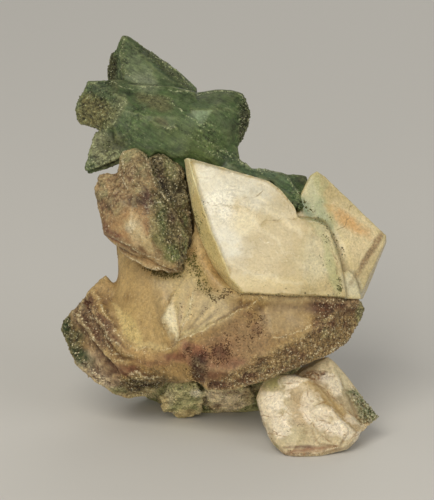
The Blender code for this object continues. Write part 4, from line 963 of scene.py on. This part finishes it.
tone = stained_and_lit(tone, sight, 1.6 * streaky, 1.0, [
    (176, 184, 134, 0.7, 21.8, 3.6, 5.6, 1.8, -46), (92, 118, 64, 0.95, 18.8, 8, 4.6, 1.8, -46),
    (112, 132, 78, 0.8, 21.4, 5.6, 3.6, 1.1, -46),
])
tone = stained_and_lit(tone, sight, 0.5 * wander + mottle, front, [
    (128, 146, 96, 0.6, 22, 6.2, 2.6, 0.6, -42), (226, 210, 168, 0.8, 26.6, 3.4, 6, 6),
    (178, 178, 132, 0.9, 19.6, 12, 2, 4.4), (148, 158, 110, 0.7, 21.6, 7.4, 1.2, 4, 28),
    (214, 172, 112, 0.9, 26.6, 5.4, 4.4, 1.3, -36), (224, 206, 160, 0.7, 27.6, -0.4, 3, 3.4),
    (210, 204, 170, 0.8, 27, -7.2, 1.6, 3, 24), (142, 112, 74, 0.8, 30.6, -0.6, 0.7, 6, -32),
    (176, 180, 126, 0.6, 23, -3.4, 1, 5.4, 14), (206, 186, 138, 0.6, 9.6, -8.2, 9, 0.7, -2),
    (120, 110, 66, 0.8, 7, -9.4, 9, 0.45, -3),
])
# Painted highlight on the edges and painted shade in the creases, both kept off the big face.
tone = toned(tone, (214, 200, 154), held(1.3 * edge, 0.3) * (1.0 - main_face))
tone = toned(tone, (150, 124, 76), held(-1.4 * edge - 0.2, 0.4) * (1.0 - main_face))
soiled = covered(sight, mottle, 1.0, [
    (1.2, -3.8, 4.4, 1.1, 4.6, 10), (1, 6, -9.2, 8, 0.6, -3), (0.8, -2.6, 8.6, 0.7, 2.4),
    (1.1, 24.6, -6.8, 0.6, 2), (0.7, 21.6, 2.4, 3.4, 0.9, -42), (0.5, 22, 7, 1.5, 3, 20),
    (0.35, 22, -4, 1.6, 5, 14), (0.3, 14, -7.4, 8, 0.6),
])
swoops = np.maximum.reduce([crest(bent, way, 0.45) for way in (
    [(5.2, 7.4), (12.2, 1.4), (17.6, -3.4), (20.2, -5.4)], [(7.8, 10.6), (13.4, 5.4), (20.6, 0.4)],
    [(3, -2.6), (9, -5.4), (17, -6.6)], [(10, 9.4), (16.4, 3.2), (21.4, -1.6)],
)])
tone = toned(tone, (228, 216, 182), 0.5 * swoops * main_face)
veil = held(1.6 * uneven(points * (0.6, 0.6, 1.4), 4.0, 53.0) - 0.2)
tone = toned(tone, (190, 174, 132), 0.35 * veil * main_face)
pearl = main_face * (0.35 + 0.6 * blot(sight, cloudy, 2.0, 9.4, 8.0, 9.0, 0.0, 0.8))
pearl = np.maximum(pearl, 0.25 + 0.5 * front * (1.0 - druse))
splits = front * hairlines(bent, [
    [(-3.1, 10), (-0.1, 9.2), (2.3, 8.5), (4.6, 8.5)], LOBE[1:], [(15.4, 6.2), (14.3, 9), (12.3, 12.4)],
    [(1.6, 11.2), (4.3, 10), (7.9, 10.5), (9.3, 11.7), (8.6, 13.3)], [(22.4, 1.4), (24.4, -4), (24, -9)],
    [(27, 9), (24.4, 4)],
], 0.7)
rims = front * hairlines(bent, [
    [(5.6, 3.4), (7.6, 0.4), (10.4, -1.4), (15, -2.4)], [(7.6, 3), (11.4, -0.2), (16.6, -1)],
    [(6, -3.4), (11, -5), (17, -5.6)], [(-4.4, 18.2), (3, 15.4), (9.6, 13.4)],
])
tablet_fields = {
    "tone": tone, "druse": druse, "pearl": pearl, "soiled": np.maximum(soiled, 0.5 * druse * behind),
    "growth": growth, "cracked": held(main_face * 0.3 + 0.05), "main_face": main_face,
    "splits": splits, "rims": 0.9 * rims,
}
tablet_surface = mesh_piece(
    "cream_tablets_surface", points, faces, cream_finish, tablet_fields
)
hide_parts("cream_tablets")
weight = crest(sight, [(-1.4, -5), (3, -9.2), (11, -9.6), (26, -9.8)], 0.5)
weight += crest(sight, [(-5.2, 8), (-4.4, 0)], 0.6)
weight += 0.6 * crest(sight, [(17.4, 9.6), (22.6, 3.4), (25.4, -1)], 0.6)
seam_tone = np.tile(paint(120, 112, 68), (len(points), 1))
strewn_crystals(
    "seam_grains", points, normals, seam_tone, weight, 900, (0.14, 0.5), 56, cream_finish
)

# The green group on top and along the ridge behind the big tablet: translucent green crystals.
# The body is striated and clear, and the peak, the left tablet and the right end are frosted with grains.

green_finish = finish_of(
    "green_crystal", (34, 38, 20), (190, 196, 152), 0.35, 1.4, (0.14, 1.0, 1.2), -32.0, 2.5, relief=0.9,
    shine=0.55, coat=0.25,
)
points, faces = even_mesh("green_crystals", 0.28)
sight = as_seen(points)
wander = uneven(points, 2.8, 61.0)
mottle = uneven(points, 1.2, 62.0)
bent = strayed(sight, points, 0.6, 60.0)
points = eased(points, faces, 1)
soft = blot(sight, 0.0, -6.4, 22.8, 9.6, 5.6, -8.0, 0.4)
points += (eased(points, faces, 36) - points) * soft[:, None]
normals = normals_of(points, faces)
facing = normals @ SIGHT_TOWARDS
front = held(0.6 + 1.6 * facing)
druse = covered(sight, wander, 1.0, [
    (0.8, -24.4, 28.4, 4.8, 4.8), (0.8, -21.4, 36.4, 1.8, 4.6), (0.5, -10.4, 36.8, 7, 1.2, -42),
    (0.9, 5.8, 25.6, 1.8, 6), (0.4, -2, 23, 3, 3), (0.5, -23, 19, 4, 4, 24), (0.4, 6, 17.6, 9, 1.2, -16),
    (0.5, 17.4, 9.4, 4, 2, -50), (0.5, -18.8, 38, 1, 4), (0.4, -15.4, 40.6, 2, 1.6),
    (0.4, -16, 27, 1.6, 2.6, -30), (0.3, -18, 24, 3, 3.4), (0.35, -12.4, 30, 4, 1.2, -20),
])
behind = held(-0.1 - 1.6 * facing) * held(0.5 + 1.2 * uneven(points, 6.0, 63.0))
druse = np.maximum(druse, 0.6 * behind)
window = np.minimum(2.3 - np.abs(sight[0] + 3.1) - 0.72 * (28.0 - sight[1]), 28.0 - sight[1])
window = held(0.5 + window / 0.3) * (sight[1] > 23.0) * front
EDGES = [
    [(-25.6, 33.8), (-21.2, 33.4), (-17.6, 32.2), (-16.4, 31.4)], [(-18, 30.6), (-20, 27.8), (-22.4, 23.4)],
    [(-13.2, 25.8), (-11.6, 24.2), (-8, 24.2)], [(-18.4, 35), (-14.4, 32.6), (-9.6, 32.2), (-4.8, 31.4)],
    [(-4, 31.4), (-1.6, 32), (3.6, 31.6), (5.6, 30.2)], [(-18.4, 42.6), (-19.2, 39.4), (-18.4, 35.4)],
    [(-12.8, 39.4), (-8.8, 36.2), (-4.8, 33)], [(-24.4, 23), (-25.6, 19.4), (-26.2, 16.2), (-19.6, 18.6)],
    [(-25.6, 17.2), (-20, 19.4)], [(0, 19.4), (1.6, 19.4), (4.8, 17.4), (9.2, 15.4)],
    [(3.9, 18), (6.6, 15.7)],
    [(6.9, 16.3), (12.3, 15.7), (14.9, 13.7), (15.6, 11.4)], [(-10, 30.4), (-6, 27), (-3.2, 24.6)],
]
STRIPES = [
    [(-2.4, 22.6), (2, 19.4)], [(-4, 22), (1, 18)], [(-6, 23.4), (-2, 20.4)], [(-12, 21.6), (-7, 18.6)],
]
relief = druse * facets(points, 0.55, 64.0) * 0.4
relief += 1.1 * blot(sight, 0.0, 15.8, 9.2, 2.6, 2.2, 0.0, 0.8)
relief += (1.0 - druse) * (1.0 - window) * 0.06 * uneven(points, 2.0, 65.0)
relief += 0.2 * crest(bent, EDGES[2], 0.4) + 0.2 * crest(bent, EDGES[5], 0.5)
relief += 0.12 * crest(bent, EDGES[1], 0.5)
relief += 0.2 * ledge(bent, EDGES[7][:3], 0.3, 1.0) + 0.2 * ledge(bent, EDGES[8][::-1], 0.3, 1.0)
points, normals, edge = relieved(points, faces, normals, relief)
tone = toned(paint(80, 101, 58), (58, 74, 42), held(0.3 + 0.8 * wander))
tone = toned(tone, (98, 110, 78), held(0.8 * mottle - 0.1, 0.6))
shaded = own_shade(normals, faces, 64.5) * held(0.6 - 1.2 * facing)
tone = toned(tone, (118, 134, 96), 0.6 * shaded)
tone = stained_and_lit(tone, sight, wander, front, [
    (84, 104, 64, 0.8, -6, 25, 6, 4, -10), (92, 108, 62, 0.8, -5.4, 21.8, 8, 2.6, -30),
    (106, 118, 84, 0.85, -15.6, 36, 3.2, 4.4, 30), (74, 86, 52, 0.75, 0, 30.8, 5, 1.6, 4),
    (136, 136, 102, 0.9, -22.8, 20, 3, 4, 24), (82, 100, 70, 0.8, 4, 17.4, 4, 1.8, -24),
    (84, 104, 76, 0.8, 11.4, 15, 4.6, 1.4, -10), (128, 138, 110, 0.7, 5.6, 17.4, 2, 0.5, -30),
    (132, 142, 116, 0.75, 11, 16, 3.2, 0.6, -6), (98, 116, 84, 0.7, 13.8, 13.4, 1.6, 1.4),
])
tone = stained_and_lit(tone, sight, wander + 0.8 * mottle, front, [
    (104, 102, 68, 0.8, -12.4, 29.6, 4, 1.4, -15), (72, 92, 54, 0.7, -12.6, 37.6, 3.4, 1.6, -40),
    (104, 110, 78, 0.7, -11.2, 38.6, 1.6, 0.6, -42), (118, 128, 98, 0.9, -14.4, 33.4, 2.8, 1.6, -30),
    (54, 70, 40, 0.8, -8.8, 34.4, 4.6, 0.8, -40), (56, 66, 40, 0.8, -13.6, 39.8, 1.6, 2.4, 30),
    (62, 58, 36, 0.9, -21.4, 36.6, 1.3, 4.6, 14), (76, 84, 50, 0.8, -10.4, 37, 6.4, 0.9, -42),
    (118, 110, 70, 0.9, -24.8, 27.6, 4, 3.6), (76, 88, 64, 0.8, -23.6, 32.4, 2.4, 1.2),
    (112, 112, 76, 0.6, -20.4, 27.4, 1.4, 4, -28), (52, 52, 34, 0.9, 5.8, 24.8, 1.5, 4.4),
    (74, 78, 46, 0.8, -20.8, 21.4, 2.4, 2), (54, 60, 36, 0.85, 17.4, 14.2, 2, 1.2),
    (74, 100, 58, 0.9, 16.6, 10, 3.4, 2.6, -40), (112, 128, 84, 0.6, 17, 9.2, 2.6, 0.5, -42),
    (110, 104, 66, 0.6, -11, 25.6, 1.6, 0.7, -30),
])
tone = toned(tone, (120, 140, 106), 0.9 * window)
# Painted highlight on the edges and painted shade in the creases.
tone = toned(tone, (136, 142, 100), held(1.1 * edge, 0.3))
tone = toned(tone, (38, 42, 24), held(-1.2 * edge - 0.1, 0.6))
soiled = held(0.15 + 0.6 * druse + 0.3 * wander) * (1.0 - window)
pearl = held(1.0 - druse) * 0.6
rims = np.maximum(hairlines(bent, EDGES), 0.9 * hairlines(bent, STRIPES)) * front * (1.0 - window)
tone *= 0.92
green_fields = {"tone": tone, "druse": druse, "pearl": pearl, "soiled": soiled, "rims": rims}
green_surface = mesh_piece(
    "green_crystals_surface", points, faces, green_finish, green_fields
)
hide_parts("green_crystals")
weight = held(druse - 0.3) * (1.0 + 2.0 * np.exp(-((facing / 0.2) ** 2))) + 0.7 * held(rims - 0.5)
strewn_crystals(
    "green_grains", points, normals, tone * 1.15, weight, 4600, (0.12, 0.4), 66, green_finish
)

# The studio: a plain pale floor, a large soft lamp at the upper left, weaker ones in front, at the right
# and behind, and the camera where the viewer stands.

FLOOR_WIDTH = 3.0
bpy.ops.mesh.primitive_plane_add(size=FLOOR_WIDTH, location=(0.0, 0.0, 0.0))
floor = bpy.context.object
floor.name = "studio_floor"
floor_finish = bpy.data.materials.new("studio_floor")
floor_finish.use_nodes = True
floor_finish.node_tree.nodes["Principled BSDF"].inputs["Base Color"].default_value = (0.62, 0.61, 0.59, 1.0)
floor_finish.node_tree.nodes["Principled BSDF"].inputs["Roughness"].default_value = 0.8
floor.data.materials.append(floor_finish)

centre = Vector(SIGHT_CENTRE) * MM


def soft_lamp(name, azimuth, elevation, distance, size, power, tint=(1.0, 1.0, 1.0)):
    """A square lamp that looks at the specimen; azimuth 0 is in front, and it grows to the right."""
    lamp = bpy.data.lights.new(name, "AREA")
    lamp.shape = "SQUARE"
    lamp.size = size
    lamp.energy = power
    lamp.color = tint
    turn, rise = math.radians(azimuth), math.radians(elevation)
    back = Vector((math.sin(turn) * math.cos(rise), -math.cos(turn) * math.cos(rise), math.sin(rise)))
    obj = bpy.data.objects.new(name, lamp)
    obj.location = centre + back * distance
    obj.rotation_mode = "QUATERNION"
    obj.rotation_quaternion = back.to_track_quat("Z", "Y")
    bpy.context.scene.collection.objects.link(obj)


soft_lamp("key_lamp", -24.0, 46.0, 0.8, 0.5, 3.4, (1.0, 0.95, 0.84))
soft_lamp("front_lamp", -6.0, 12.0, 0.9, 0.4, 1.6, (1.0, 0.95, 0.84))
soft_lamp("fill_lamp", 55.0, 30.0, 0.9, 0.6, 1.15, (1.0, 0.97, 0.9))
soft_lamp("back_lamp", 165.0, 34.0, 0.9, 0.6, 1.3, (1.0, 0.96, 0.88))
world = bpy.data.worlds.new("studio")
world.use_nodes = True
world.node_tree.nodes["Background"].inputs["Color"].default_value = (1.0, 0.98, 0.93, 1.0)
world.node_tree.nodes["Background"].inputs["Strength"].default_value = 0.3
bpy.context.scene.world = world
bpy.context.scene.view_settings.view_transform = "Standard"

towards = Vector(SIGHT_TOWARDS)
camera = bpy.data.cameras.new("camera")
camera.sensor_width = 36.0
camera.lens = 216.0
camera.clip_start = 0.01
camera.clip_end = 10.0
viewer = bpy.data.objects.new("camera", camera)
viewer.location = centre + towards * (SIGHT_DISTANCE * MM)
viewer.rotation_mode = "QUATERNION"
viewer.rotation_quaternion = towards.to_track_quat("Z", "Y")
bpy.context.scene.collection.objects.link(viewer)
bpy.context.scene.camera = viewer
